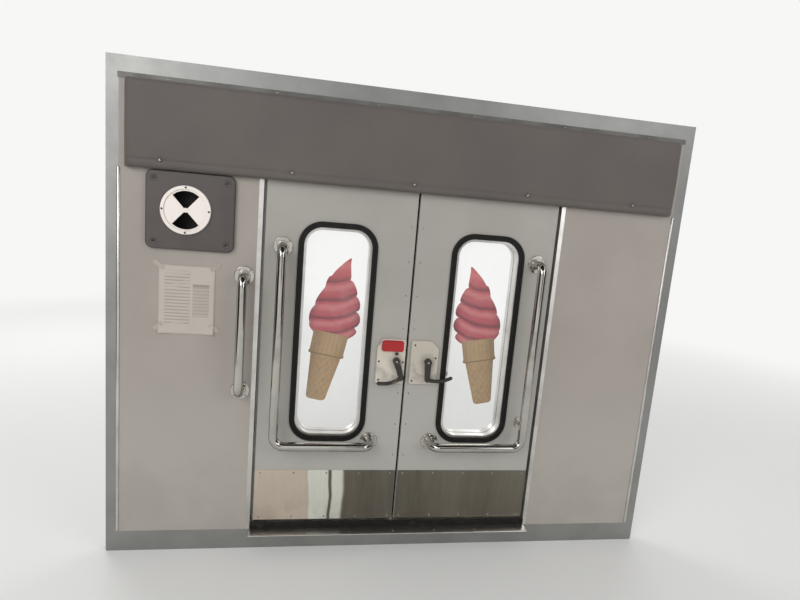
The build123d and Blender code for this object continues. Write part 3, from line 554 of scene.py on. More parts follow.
def new_piece(name, maker, finish, body="wall", smooth=True):
    """A mesh object from a bmesh, in its finish, riding on its CAD body."""
    mesh = bpy.data.meshes.new(name)
    bmesh.ops.recalc_face_normals(maker, faces=maker.faces)
    maker.to_mesh(mesh)
    maker.free()
    mesh.materials.append(FINISHES[finish])
    for face in mesh.polygons:
        face.use_smooth = smooth
    piece = bpy.data.objects.new(name, mesh)
    bpy.context.scene.collection.objects.link(piece)
    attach(piece, body)
    return piece


def spread(start, end, count):
    """Evenly spaced values from start to end."""
    return [start + (end - start) * k / (count - 1) for k in range(count)]


def circle(radius, count, start=0.0, middle=(0.0, 0.0)):
    """Plane points round a circle."""
    angles = [start + 2 * math.pi * k / count for k in range(count)]
    return [(middle[0] + radius * math.cos(a), middle[1] + radius * math.sin(a)) for a in angles]


def turned(points, angle):
    """Plane points turned about the origin."""
    cos, sin = math.cos(angle), math.sin(angle)
    return [(a * cos - b * sin, a * sin + b * cos) for a, b in points]


def bridge(maker, first, second):
    """Quads between two closed rings of the same count."""
    for i in range(len(first)):
        j = (i + 1) % len(first)
        maker.faces.new((first[i], first[j], second[j], second[i]))


def skin(maker, rings):
    """A closed surface through successive rings, flat at both ends."""
    for first, second in zip(rings, rings[1:]):
        bridge(maker, first, second)
    maker.faces.new(rings[-1])
    maker.faces.new(list(reversed(rings[0])))


def stack(maker, place, normal, layers):
    """A closed body that stands on a surface, through layers given as (plane points, height)."""
    up = UPWARD if abs(normal.z) < 0.9 else OUTWARD
    right = up.cross(normal).normalized()
    up = normal.cross(right).normalized()
    skin(maker, [[maker.verts.new(place + right * a + up * b + normal * height) for a, b in points]
                 for points, height in layers])


def slab(maker, outline, y_front, y_back):
    """A flat plate with the given outline of (x, z) points, between two values of y."""
    skin(maker, [[maker.verts.new((x, y, z)) for x, z in outline] for y in (y_front, y_back)])


def cover_grid(maker, grid):
    """Quads over rows of vertices; gives the vertices round its edge, in order."""
    for below, above in zip(grid, grid[1:]):
        for i in range(len(below) - 1):
            maker.faces.new((below[i], below[i + 1], above[i + 1], above[i]))
    return (grid[0] + [line[-1] for line in grid[1:]] + list(reversed(grid[-1][:-1]))
            + [line[0] for line in reversed(grid[1:-1])])


def rounded_outline(width, height, radius, steps=8):
    """Closed outline of a round-cornered rectangle round the origin."""
    points = []
    for quarter, (sx, sz) in enumerate(((1, 1), (-1, 1), (-1, -1), (1, -1))):
        for k in range(steps + 1):
            a = math.pi / 2 * (quarter + k / steps)
            points.append((sx * (width / 2 - radius) + radius * math.cos(a),
                           sz * (height / 2 - radius) + radius * math.sin(a)))
    return points


# Profiles are (share of the radius, height); the recess is a cross of four arms
SCREW_SEGMENTS = 16
SCREW_HEIGHT = 0.42
SCREW_PROFILE = ((1.0, 0.0), (1.0, 0.28), (0.93, 0.58), (0.76, 0.86), (0.56, 1.0))
RECESS_REACH = (0.42, 0.20, 0.13, 0.20)
RECESS_PROFILE = ((1.0, 1.0), (0.82, 0.35))
SCREW_TURN = 0.7
CUP_SEGMENTS = 24
CUP_PROFILE = ((1.0, 0.0), (0.97, 0.10), (0.88, 0.15), (0.78, 0.09), (0.62, 0.02), (0.30, 0.012))


def screws(name, places, radius, body="wall", normal=INWARD, finish="hardware_steel"):
    """Domed screw heads with a cross recess in one mesh, each turned differently."""
    maker = bmesh.new()
    height = radius * SCREW_HEIGHT
    for k, place in enumerate(places):
        head = circle(radius, SCREW_SEGMENTS, SCREW_TURN * k)
        layers = [([(a * share, b * share) for a, b in head], height * rise)
                  for share, rise in SCREW_PROFILE]
        for share, rise in RECESS_PROFILE:
            reaches = [share * RECESS_REACH[i % 4] for i in range(SCREW_SEGMENTS)]
            cross = [(a * reach, b * reach) for (a, b), reach in zip(head, reaches)]
            layers.append((cross, height * rise))
        stack(maker, Vector(place), normal, layers)
    new_piece(name, maker, finish, body)


def cups(name, places, radius, finish):
    """Dished washers in one mesh: a raised round lip over the hollow that a screw sits in."""
    maker = bmesh.new()
    layers = [(circle(radius * share, CUP_SEGMENTS), radius * rise) for share, rise in CUP_PROFILE]
    for place in places:
        stack(maker, Vector(place), INWARD, layers)
    new_piece(name, maker, finish)


# Sizes and colours that a user would change

class RearWallColours(bpy.types.PropertyGroup):
    """Colours of the wall's finishes."""
    wall_lining: bpy.props.FloatVectorProperty(
        name="Wall lining", description="Laminate beside the doors", subtype="COLOR",
        default=srgb(157, 149, 142))
    door_lining: bpy.props.FloatVectorProperty(
        name="Door lining", description="Laminate on the doors", subtype="COLOR",
        default=srgb(161, 157, 151))
    header: bpy.props.FloatVectorProperty(
        name="Header pad", description="Vinyl over the doors", subtype="COLOR",
        default=srgb(90, 83, 79))
    enamel: bpy.props.FloatVectorProperty(
        name="Enamel", description="Paint on the outside", subtype="COLOR",
        default=srgb(214, 213, 207))
    latch_plate: bpy.props.FloatVectorProperty(
        name="Latch plate", description="Cover plates under the levers", subtype="COLOR",
        default=srgb(208, 200, 189))
    tab: bpy.props.FloatVectorProperty(
        name="Release tab", description="Red tab over the left lever", subtype="COLOR",
        default=srgb(168, 6, 10))
    vent: bpy.props.FloatVectorProperty(
        name="Vent plate", description="Moulded plate round the vent", subtype="COLOR",
        default=srgb(76, 69, 66))
    vent_ring: bpy.props.FloatVectorProperty(
        name="Vent bezel", description="Bezel and shutter of the vent", subtype="COLOR",
        default=srgb(236, 228, 222))


class RearWallSizes(bpy.types.PropertyGroup):
    """Sizes of the small parts that are added to the wall."""
    screw_radius: bpy.props.FloatProperty(
        name="Screw radius", description="Heads on the linings and kick plates", unit="LENGTH",
        default=0.0042)
    flange_screw_radius: bpy.props.FloatProperty(
        name="Flange screw radius", description="Heads on the rails' flanges", unit="LENGTH",
        default=0.0042)
    edge_screw_pitch: bpy.props.FloatProperty(
        name="Edge screw pitch", description="Spacing along a door's free edge", unit="LENGTH",
        default=0.145)
    pad_crown: bpy.props.FloatProperty(
        name="Pad crown", description="How far the header pad swells", unit="LENGTH", default=0.005)
    cone_height: bpy.props.FloatProperty(
        name="Cone height", description="Height of the printed cone on each window, at full size",
        unit="LENGTH", default=0.655)
    cone_size: bpy.props.FloatProperty(
        name="Cone size", description="Scale of the printed cone about its foot", default=1.0)
    tread_pitch: bpy.props.FloatProperty(
        name="Tread pitch", description="Spacing of the raised bars on the lower guards",
        unit="LENGTH", default=0.026)


class RearWallStage(bpy.types.PropertyGroup):
    """Floor, light and camera."""
    floor: bpy.props.FloatVectorProperty(
        name="Floor", description="Colour of the studio floor", subtype="COLOR",
        default=(0.80, 0.80, 0.79))
    key_power: bpy.props.FloatProperty(
        name="Key power", description="Power of each large lamp, in watts", default=118.0)
    sky: bpy.props.FloatProperty(
        name="Sky strength", description="Strength of the even light from all round", default=0.55)
    zoom: bpy.props.FloatProperty(
        name="Zoom", description="Focal length over that of the photograph", default=1.6)


def colours():
    """The colours that are set for this wall."""
    return bpy.context.scene.rear_wall_colours


def sizes():
    """The sizes that are set for this wall."""
    return bpy.context.scene.rear_wall_sizes


def pair(stem):
    """The left and right node of a stem."""
    return [stem + "_left", stem + "_right"]


# Which CAD parts wear each finish
WORN_BY = {
    "wall_laminate": pair("lining"),
    "door_laminate": pair("leaf_lining"),
    "kick_steel": pair("kick_plate"),
    "rail_steel": ["wall_grab_bar"] + pair("door_rail"),
    "hardware_steel": (["lamp_bezels"] + pair("hinge_leaf") + pair("hinge_frame") + pair("handle_dish")
                       + pair("plunger")),
    "section_aluminium": ["threshold", "door_frame"] + pair("window_surround"),
    "bare_aluminium": ["corner_guards"],
    "rim_metal": ["sill_rail", "roof_rail"] + pair("corner_post"),
    "window_rubber": pair("window_rubber"),
    "seal_rubber": ["door_seal", "meeting_seal", "hold_open_catches"],
    "enamel": ["outer_skin", "vent_cowl", "drip_rail"] + pair("leaf_pan") + pair("lock_block"),
    "latch_cream": pair("latch_plate"),
    "lever_black": pair("lever") + pair("paddle"),
    "tab_red": ["red_tab"],
    "vent_grey": ["vent_plate"],
    "bezel_white": ["vent_bezel", "vent_shutter"],
    "duct_black": ["vent_duct"],
    "lens_red": ["red_lenses"],
    "lens_clear": ["clear_lenses"],
    "glass": pair("window_glass"),
    "header_vinyl": ["header_pad"],
}


class REARWALL_OT_finishes(bpy.types.Operator):
    """Make every finish and give it to the CAD parts"""
    bl_idname = "rear_wall.finishes"
    bl_label = "Finishes"

    def execute(self, context):
        picked = colours()
        laminate("wall_laminate", picked.wall_lining, FLOOR_LEVEL)
        laminate("door_laminate", picked.door_lining, LEAF_FOOT)
        # The kick plates' dark steel colour is painted reflection of a dim cabin
        mirror_steel("kick_steel", srgb(120, 115, 104))
        tube_steel("rail_steel", srgb(186, 183, 176))
        tube_steel("hardware_steel", srgb(176, 172, 166))
        bright_aluminium("section_aluminium", srgb(214, 211, 207), 0.24)
        bright_aluminium("bare_aluminium", srgb(176, 176, 174), 0.42)
        bright_aluminium("trim_grey", srgb(126, 125, 122), 0.55)
        rim_metal("rim_metal", picked.enamel, srgb(150, 150, 148))
        rubber("window_rubber", srgb(22, 21, 20), 0.2)
        rubber("seal_rubber", srgb(18, 17, 16), 0.35)
        vinyl("header_vinyl", picked.header)
        enamel("enamel", picked.enamel)
        latch_cream("latch_cream", picked.latch_plate)
        worn_black("lever_black", srgb(44, 41, 39), srgb(134, 122, 112))
        moulded("tab_red", picked.tab, 0.24, 1500, srgb(128, 4, 8), coat_weight=0.3)
        moulded("tab_white", srgb(226, 206, 200), 0.4)
        moulded("vent_grey", picked.vent, 0.42, 480)
        moulded("bezel_white", picked.vent_ring, 0.32, 1600, srgb(206, 190, 176))
        moulded("duct_black", srgb(20, 18, 18), 0.6)
        moulded("tape", srgb(174, 165, 153), 0.25, 900)
        lens("lens_red", srgb(176, 14, 16), srgb(92, 2, 6))
        lens("lens_clear", srgb(214, 218, 220), srgb(160, 166, 170))
        pane("glass", srgb(236, 242, 240))
        sheet_paper("paper", srgb(185, 177, 168), srgb(104, 95, 88))
        swirl_film("swirl", srgb(178, 67, 79), srgb(110, 20, 40))
        cone_film("wafer", srgb(168, 137, 94), srgb(122, 91, 54))
        for finish, names in WORN_BY.items():
            for name in names:
                for place in NODES[name].material_slots:
                    place.material = FINISHES[finish]
        return {"FINISHED"}


# The header pad's cover: its rounding, and how its front is pulled in
PAD_STATIONS = 260
PAD_ROUND = 0.014
PAD_ROUND_STEPS = 6
PAD_FRONT_STEPS = 44
PAD_SINK = 0.003
PAD_LIP = 0.012
PAD_LIP_RISE = 0.001
PAD_END = 0.03
PAD_END_DEPTH = 0.35
PAD_RIPPLE = 0.0012
SEAM_RISE = 0.030
SEAM_PULL = 0.0030
SEAM_WIDTH = 0.0035
DIMPLE_PULL = 0.0045
DIMPLE_RADIUS = 0.014832

# Its row of screws along the lower edge
PAD_SCREW_RADIUS = 0.0052
PAD_SCREW_PITCH = 0.490
PAD_SCREW_MARGIN = 0.1
PAD_SCREW_SHIFT = -0.037
PAD_SCREW_RISE = 0.032
PAD_SCREW_PROUD = 0.0005


class REARWALL_OT_header_pad(bpy.types.Operator):
    """Vinyl-covered header pad, swollen between its screws, with a sewn lower roll"""
    bl_idname = "rear_wall.header_pad"
    bl_label = "Header pad"

    def execute(self, context):
        low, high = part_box("header_pad")
        count = int((high.x - low.x - 2 * PAD_SCREW_MARGIN) / PAD_SCREW_PITCH)
        first = PAD_SCREW_SHIFT - PAD_SCREW_PITCH * count / 2
        screws_at = [(first + PAD_SCREW_PITCH * k, low.z + PAD_SCREW_RISE) for k in range(count + 1)]
        section = self.section(low, high)
        maker = bmesh.new()
        loops = []
        for x in spread(low.x, high.x, PAD_STATIONS + 1):
            end = min(1.0, min(x - low.x, high.x - x) / PAD_END)
            full = PAD_END_DEPTH + (1 - PAD_END_DEPTH) * math.sqrt(max(0.0, 1 - (1 - end) ** 2))
            loop = []
            for y, z, face in section:
                front = y - face * self.swell(x, z, low, high, screws_at)
                loop.append(maker.verts.new((x, high.y - (high.y - front) * full, z)))
            loops.append(loop)
        skin(maker, loops)
        piece = new_piece("header_pad_cover", maker, "header_vinyl")
        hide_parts("header_pad")
        places = [(x, low.y - PAD_SCREW_PROUD, z) for x, z in screws_at]
        screws("header_screws", places, PAD_SCREW_RADIUS)
        return {"FINISHED"}

    @staticmethod
    def swell(x, z, low, high, screws_at):
        """How far the front swells at one place, with the seam and the screws pulling it in."""
        out = sizes().pad_crown * math.sin(math.pi * (z - low.z) / (high.z - low.z)) ** 0.6
        out += PAD_RIPPLE * math.sin(23 * x + 9 * z) * math.sin(7.3 * x - 31 * z)
        out -= SEAM_PULL * math.exp(-((z - low.z - SEAM_RISE) / SEAM_WIDTH) ** 2)
        for screw_x, screw_z in screws_at:
            apart = math.hypot(x - screw_x, z - screw_z)
            out -= DIMPLE_PULL * math.exp(-(apart / DIMPLE_RADIUS) ** 2)
        return out

    @staticmethod
    def section(low, high):
        """Points (y, z, how far they lie on the front) round the pad's section."""
        front, back = low.y + PAD_SINK, high.y
        lip = low.z + PAD_LIP_RISE
        points = [(back, lip, 0.0), (back - PAD_LIP, lip, 0.0)]
        angles = spread(0.0, math.pi / 2, PAD_ROUND_STEPS + 1)
        for a in angles:
            points.append((front + PAD_ROUND * (1 - math.sin(a)), low.z + PAD_ROUND * (1 - math.cos(a)),
                           math.sin(a) ** 2))
        for k in range(1, PAD_FRONT_STEPS):
            share = (k / PAD_FRONT_STEPS) ** 1.35
            points.append((front, low.z + PAD_ROUND + (high.z - low.z - 2 * PAD_ROUND) * share, 1.0))
        for a in angles:
            points.append((front + PAD_ROUND * (1 - math.cos(a)), high.z - PAD_ROUND * (1 - math.sin(a)),
                           math.cos(a) ** 2))
        return points + [(back, high.z, 0.0)]


# Screws of the kick plates, and down the doors' free edges between kick plate and top
KICK_SCREWS = 5
KICK_SCREW_INSET = 0.022
KICK_SCREW_EDGE = 0.013
EDGE_SCREW_X = 0.0245
EDGE_SCREW_SHARE = 0.85
EDGE_SCREW_RISE = 0.075
EDGE_SCREW_SHORT = 0.06
EDGE_SCREW_CLEAR = 0.02

# Flanges of the rails: where they sit, and the four screws round each
FLANGE_REACH = 0.039
FLANGE_FACE = 0.005
FLANGE_SCREW_RING = 0.0315
RAIL_FAR_X = 0.550
RAIL_NEAR_X = 0.138

# Screws of the cover plates, measured in from the plate's edges
LATCH_LOWER = (0.013, 0.016)
LATCH_UPPER_RIGHT = ((0.016, 0.020), (0.013, 0.075))
LATCH_MIDDLE_LEFT = (0.010, 0.009)

# Screws of the levers, hinges, vent and threshold
HUB_REACH = 0.022
HUB_SCREW_RADIUS = 0.0052
HINGE_SCREWS = 16
HINGE_SCREW_INSET = 0.011
HINGE_FLAP = 0.002
VENT_SCREW_INSET = 0.030
VENT_SCREW_RADIUS = 0.0056
VENT_CUP_RADIUS = 0.0130
BEZEL_SCREW_RING = 0.0868
BEZEL_SCREW_RADIUS = 0.0040
THRESHOLD_SCREWS = 7
THRESHOLD_SCREW_INSET = 0.06
THRESHOLD_SCREW_EDGE = 0.024
THRESHOLD_PROUD = 0.004


def flange_screws(x, z, surface):
    """Where the four screws of a rail's flange sit."""
    around = circle(FLANGE_SCREW_RING, 4, math.pi / 4, (x, z))
    return [(a, surface - FLANGE_FACE, b) for a, b in around]


def hinge_screws(x, hinge):
    """Where the screws down one flap of a hinge sit."""
    low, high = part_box(hinge)
    half = (high.z - low.z) / HINGE_SCREWS / 2
    return [(x, SKIN_FACE + HINGE_FLAP, z) for z in spread(low.z + half, high.z - half, HINGE_SCREWS)]


class REARWALL_OT_screws(bpy.types.Operator):
    """Screws of the kick plates, linings, rails, latch plates, vent and hinges"""
    bl_idname = "rear_wall.screws"
    bl_label = "Screws"

    def execute(self, context):
        for side, sign in SIDES.items():
            self.on_lining(side, sign)
            self.on_latch(side)
            self.on_rail_and_hinge(side, sign)
        self.on_wall()
        return {"FINISHED"}

    @staticmethod
    def on_lining(side, sign):
        """Screws of one door's kick plate, and down its free edge past the cover plate."""
        kick_low, kick_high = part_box("kick_plate_" + side)
        places = []
        for x in spread(kick_low.x + KICK_SCREW_INSET, kick_high.x - KICK_SCREW_INSET, KICK_SCREWS):
            places += [(x, kick_low.y, kick_high.z - KICK_SCREW_EDGE),
                       (x, kick_low.y, kick_low.z + KICK_SCREW_EDGE)]
        screws("kick_screws_" + side, places, sizes().screw_radius, "door_" + side)

        plate_low, plate_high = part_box("latch_plate_" + side)
        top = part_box("leaf_lining_" + side)[1].z - EDGE_SCREW_SHORT
        places = []
        z = kick_high.z + EDGE_SCREW_RISE
        while z < top:
            if not plate_low.z - EDGE_SCREW_CLEAR < z < plate_high.z + EDGE_SCREW_CLEAR:
                places.append((sign * EDGE_SCREW_X, LEAF_FACE, z))
            z += sizes().edge_screw_pitch
        screws("edge_screws_" + side, places, sizes().screw_radius * EDGE_SCREW_SHARE, "door_" + side)

    @staticmethod
    def on_latch(side):
        """Screws of one cover plate, and the one in the lever's hub."""
        low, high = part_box("latch_plate_" + side)
        inset, rise = LATCH_LOWER
        lower = [(low.x + inset, low.z + rise), (high.x - inset, low.z + rise)]
        if side == "right":
            near, far = LATCH_UPPER_RIGHT
            upper = [(low.x + near[0], high.z - near[1]), (high.x - far[0], high.z - far[1])]
        else:
            near, far = LATCH_MIDDLE_LEFT
            middle = (low.z + high.z) / 2
            upper = [(low.x + near, middle), (high.x - far, middle)]
        screws("latch_screws_" + side, [(x, low.y, z) for x, z in lower + upper], sizes().screw_radius,
               "door_" + side, finish="lever_black")

        x, z = lever_pivot(side)
        hub = [vertex.co.y for vertex in NODES["lever_" + side].data.vertices
               if math.hypot(vertex.co.x - x, vertex.co.z - z) < HUB_REACH]
        screws("lever_screw_" + side, [(x, min(hub), z)], HUB_SCREW_RADIUS, "lever_" + side)

    @staticmethod
    def on_rail_and_hinge(side, sign):
        """Screws of one door's grab rail and of the hinge flap behind it."""
        low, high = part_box("door_rail_" + side)
        places = flange_screws(sign * RAIL_FAR_X, high.z - FLANGE_REACH, LEAF_FACE)
        places += flange_screws(sign * RAIL_NEAR_X, low.z + FLANGE_REACH, LEAF_FACE)
        screws("rail_screws_" + side, places, sizes().flange_screw_radius, "door_" + side)

        inner = min(abs(corner.x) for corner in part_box("hinge_leaf_" + side))
        places = hinge_screws(sign * (inner + HINGE_SCREW_INSET), "hinge_leaf_" + side)
        screws("hinge_leaf_screws_" + side, places, sizes().screw_radius, "door_" + side, OUTWARD)

    @staticmethod
    def on_wall():
        """Screws that stay with the wall."""
        small = sizes().screw_radius
        low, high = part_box("vent_plate")
        corners = [(x, low.y, z) for x in (low.x + VENT_SCREW_INSET, high.x - VENT_SCREW_INSET)
                   for z in (low.z + VENT_SCREW_INSET, high.z - VENT_SCREW_INSET)]
        cups("vent_plate_cups", corners, VENT_CUP_RADIUS, "vent_grey")
        screws("vent_plate_screws", corners, VENT_SCREW_RADIUS, finish="lever_black")
        middle, face = node_middle("vent_bezel"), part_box("vent_bezel")[0].y
        rim = [(x, face, z) for x, z in circle(BEZEL_SCREW_RING, 4, 0.0, (middle.x, middle.z))]
        screws("bezel_screws", rim, BEZEL_SCREW_RADIUS, finish="lever_black")

        low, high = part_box("wall_grab_bar")
        x = (low.x + high.x) / 2
        places = flange_screws(x, low.z + FLANGE_REACH, LINING_FACE)
        places += flange_screws(x, high.z - FLANGE_REACH, LINING_FACE)
        screws("grab_bar_screws", places, sizes().flange_screw_radius)

        low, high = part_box("threshold")
        row = spread(low.x + THRESHOLD_SCREW_INSET, high.x - THRESHOLD_SCREW_INSET, THRESHOLD_SCREWS)
        places = [(x, low.y + THRESHOLD_SCREW_EDGE, FLOOR_LEVEL + THRESHOLD_PROUD) for x in row]
        screws("threshold_screws", places, small, normal=UPWARD)

        for side, sign in SIDES.items():
            outer = max(abs(corner.x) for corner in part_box("hinge_frame_" + side))
            places = hinge_screws(sign * (outer - HINGE_SCREW_INSET), "hinge_frame_" + side)
            screws("hinge_frame_screws_" + side, places, small, normal=OUTWARD)


# The swirl's outline, in shares of its height: tucked in at its foot, widest at its belly, and drawn
# to a point at its peak; its folds notch the outer side less than the inner one
TUCK_TOP = 0.13
TUCK_GIRTH = 0.68
BELLY = 0.22
PEAK_FOOT = 0.72
PEAK_GIRTH = 0.046
NOTCHES = {1: 0.10, -1: 0.22}
FIRST_FOLD = 4.1
CURL_FOOT = 0.55
SWIRL_CURL = 0.015
PEAK_SHIFT = 0.008
SWIRL_DIP = 0.012


def swirl_width(share):
    """Half the width of the swirl at a share of its height, without its folds."""
    if share < BELLY:
        swell = math.sin(min(1.0, share / TUCK_TOP) * math.pi / 2)
        return SWIRL_GIRTH * (TUCK_GIRTH + (1 - TUCK_GIRTH) * swell)
    girth = SWIRL_GIRTH * (1 - ((share - BELLY) / (1 - BELLY)) ** 1.5)
    peak = PEAK_GIRTH * ((1 - share) / (1 - PEAK_FOOT)) ** 0.85
    return min(girth, peak) if share > PEAK_FOOT else girth


def swirl_outline(height, steps=110):
    """Outline of the swirl, up one side and down the other, notched where its folds meet."""
    edges = {side: [] for side in NOTCHES}
    for share in spread(0.0, 1.0, steps + 1):
        girth = swirl_width(share)
        late = max(0.0, (share - CURL_FOOT) / (1 - CURL_FOOT))
        curl = SWIRL_CURL * math.sin(math.pi * late) - PEAK_SHIFT * share ** 3
        along = CONE_LENGTH - SWIRL_DIP + (height - CONE_LENGTH) * share
        for side, notch in NOTCHES.items():
            fold = (swirl_turns(share, side * girth / SWIRL_REACH) + FIRST_FOLD) % 1
            bulge = 1 - notch + notch * math.sqrt(max(0.0, 1 - (2 * fold - 1) ** 2))
            edges[side].append((curl + side * girth * bulge, along))
    return edges[-1][:-1] + list(reversed(edges[1][:-1]))


def cone_outline():
    """Outline of the wafer: a straight collar with a lip over a tapered shaft."""
    shaft = [(0.027, 0.0), (0.036, 0.003), (0.0415, 0.009), (0.0435, 0.018), (0.066, COLLAR_FOOT - 0.004)]
    collar = [(0.077, COLLAR_FOOT), (0.0775, COLLAR_FOOT + 0.010), (0.074, COLLAR_FOOT + 0.014),
              (0.076, CONE_LENGTH)]
    half = shaft + collar
    return half + [(-a, b) for a, b in reversed(half)]


FILM_THICKNESS = 0.0003
FILM_GAP = 0.0002


class REARWALL_OT_cones(bpy.types.Operator):
    """Printed cone on the outer face of each window, a mirrored pair"""
    bl_idname = "rear_wall.cones"
    bl_label = "Window cones"

    def execute(self, context):
        for side, sign in SIDES.items():
            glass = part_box("window_glass_" + side)[1].y + FILM_GAP
            self.film("cone_print_" + side, cone_outline(), sign, glass, "wafer", "cream_plastic",
                      "door_" + side)
            self.film("swirl_print_" + side, swirl_outline(sizes().cone_height), sign,
                      glass + FILM_THICKNESS, "swirl", "red_tab", "door_" + side)
        return {"FINISHED"}

    @staticmethod
    def film(name, outline, sign, y, finish, slot, body):
        """One print, leaning about the cone's foot."""
        size = sizes().cone_size
        placed = [(sign * (CONE_FOOT.x + a * size), CONE_FOOT.z + b * size)
                  for a, b in turned(outline, CONE_LEAN)]
        maker = bmesh.new()
        slab(maker, placed, y, y + FILM_THICKNESS)
        maker.normal_update()
        bmesh.ops.triangulate(maker, faces=[face for face in maker.faces if len(face.verts) > 4])
        new_piece(name, maker, finish, body, smooth=False)


# The notice: its place from the lining's edge and the floor, how it lifts, and the tape on its corners
NOTICE_WIDTH = 0.216
NOTICE_HEIGHT = 0.279
NOTICE_X = 0.2575
NOTICE_RISE = 1.003
NOTICE_COLUMNS = 26
NOTICE_ROWS = 34
SHEET_THICKNESS = 0.0004
SHEET_GAP = 0.0009
SHEET_CURL = 0.006
SHEET_WAVE = 0.0007
TAPE_HALF = (0.022, 0.009)
TAPE_LEAN = math.radians(38)
TAPE_RISE = 0.03
TAPE_FRONT = 0.0026
TAPE_BACK = 0.0002


def notice_box():
    """Lowest and highest corner of the notice sheet on the left lining."""
    middle = Vector((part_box("lining_left")[0].x + NOTICE_X, LINING_FACE, FLOOR_LEVEL + NOTICE_RISE))
    half = Vector((NOTICE_WIDTH / 2, 0, NOTICE_HEIGHT / 2))
    return middle - half, middle + half


class REARWALL_OT_notice(bpy.types.Operator):
    """Notice sheet taped to the left lining, lifting a little at its lower corners"""
    bl_idname = "rear_wall.notice"
    bl_label = "Notice sheet"

    def execute(self, context):
        low, high = notice_box()
        maker = bmesh.new()
        rims = [self.sheet_side(maker, low, thickness) for thickness in (0.0, SHEET_THICKNESS)]
        bridge(maker, *rims)
        new_piece("notice_sheet", maker, "paper")

        maker = bmesh.new()
        a, b = TAPE_HALF
        for across, x in ((-1, low.x), (1, high.x)):
            for up, z in ((1, high.z), (-1, low.z + TAPE_RISE)):
                strip = turned(((-a, -b), (a, -b), (a, b), (-a, b)), across * up * TAPE_LEAN)
                slab(maker, [(x + right, z + rise) for right, rise in strip],
                     LINING_FACE - TAPE_FRONT, LINING_FACE - TAPE_BACK)
        new_piece("notice_tape", maker, "tape", smooth=False)
        return {"FINISHED"}

    @staticmethod
    def sheet_side(maker, low, thickness):
        """One face of the sheet; gives the vertices round its edge."""
        grid = []
        for v in spread(0.0, 1.0, NOTICE_ROWS + 1):
            line = []
            for u in spread(0.0, 1.0, NOTICE_COLUMNS + 1):
                foot = max(0.0, 1 - v * 3.2)
                corner = max(0.0, abs(2 * u - 1) - 0.45) / 0.55
                lift = SHEET_GAP + SHEET_CURL * foot ** 2 * corner ** 1.5
                lift += SHEET_WAVE * math.sin(9 * u + 4) * math.sin(7 * v + 1) ** 2
                line.append(maker.verts.new((low.x + NOTICE_WIDTH * u, LINING_FACE - lift - thickness,
                                             low.z + NOTICE_HEIGHT * v)))
            grid.append(line)
        return cover_grid(maker, grid)


# The red tab's rim, as (inset, height), and the slide under it
TAB_RIM = 0.0042
TAB_RIM_PROFILE = ((0.0, 0.0), (0.0, 0.0030), (TAB_RIM * 0.3, 0.0042), (TAB_RIM * 0.7, 0.0042),
                   (TAB_RIM, 0.0030), (TAB_RIM, 0.0))
SLIDE_OUTLINE = ((-0.008, -0.009), (0.008, -0.009), (0.006, 0.003), (-0.006, 0.003))
SLIDE_SHARE = 0.70
SLIDE_DROP = 0.0065
SLIDE_DEPTH = 0.008
SLIDE_EDGE = 0.0018


class REARWALL_OT_tab_frame(bpy.types.Operator):
    """White frame round the red tab, and the small black slide under it"""
    bl_idname = "rear_wall.tab_frame"
    bl_label = "Tab frame"

    def execute(self, context):
        low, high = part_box("red_tab")
        centre = Vector(((low.x + high.x) / 2, high.y, (low.z + high.z) / 2))
        maker = bmesh.new()
        loops = []
        for inset, proud in TAB_RIM_PROFILE:
            grown = TAB_RIM - inset
            outline = rounded_outline(high.x - low.x + 2 * grown, high.z - low.z + 2 * grown,
                                      (high.z - low.z) / 5 + grown)
            loops.append([maker.verts.new(centre + Vector((a, -proud, b))) for a, b in outline])
        for first, second in zip(loops, loops[1:] + loops[:1]):
            bridge(maker, first, second)
        new_piece("tab_frame", maker, "tab_white", "door_left")

        maker = bmesh.new()
        x, z = low.x + (high.x - low.x) * SLIDE_SHARE, low.z - SLIDE_DROP
        slab(maker, [(x + a, z + b) for a, b in SLIDE_OUTLINE], high.y - SLIDE_DEPTH, high.y)
        bmesh.ops.bevel(maker, geom=maker.edges[:], offset=SLIDE_EDGE, segments=3, affect="EDGES")
        new_piece("tab_slide", maker, "lever_black", "door_left")
        return {"FINISHED"}


BEAD_RADIUS = 0.0065
BEAD_FLATNESS = 0.75
BEAD_STEPS = 12
BEAD_FOOT_GAP = 0.001
BEAD_TOP_GAP = 0.002
BEAD_END = 0.003
BEAD_END_SHARE = 0.7


class REARWALL_OT_corner_beads(bpy.types.Operator):
    """Bright half-round bead over the joint of each lining and its corner post"""
    bl_idname = "rear_wall.corner_beads"
    bl_label = "Corner beads"

    def execute(self, context):
        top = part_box("header_pad")[0].z - BEAD_TOP_GAP
        for side, sign in SIDES.items():
            low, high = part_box("lining_" + side)
            foot = low.z + BEAD_FOOT_GAP
            layers = []
            for z, share in ((foot, BEAD_END_SHARE), (foot + BEAD_END, 1.0), (top - BEAD_END, 1.0),
                             (top, BEAD_END_SHARE)):
                reach = BEAD_RADIUS * share
                layers.append(([(reach * math.cos(a), -BEAD_FLATNESS * reach * math.sin(a))
                                for a in spread(0.0, math.pi, BEAD_STEPS + 1)], z))
            maker = bmesh.new()
            stack(maker, Vector((low.x if sign < 0 else high.x, LINING_FACE, 0)), UPWARD, layers)
            new_piece("corner_bead_" + side, maker, "section_aluminium")
        return {"FINISHED"}


TRIM_THICKNESS = 0.0022
TRIM_EDGE = 0.0007
TRIM_REACH = 0.004
TRIM_OVERLAP = 0.002
TRIM_RISE = 0.020
TRIM_SCREWS = 6
TRIM_SCREW_REACH = 1.0
TRIM_SCREW_RADIUS = 0.0036


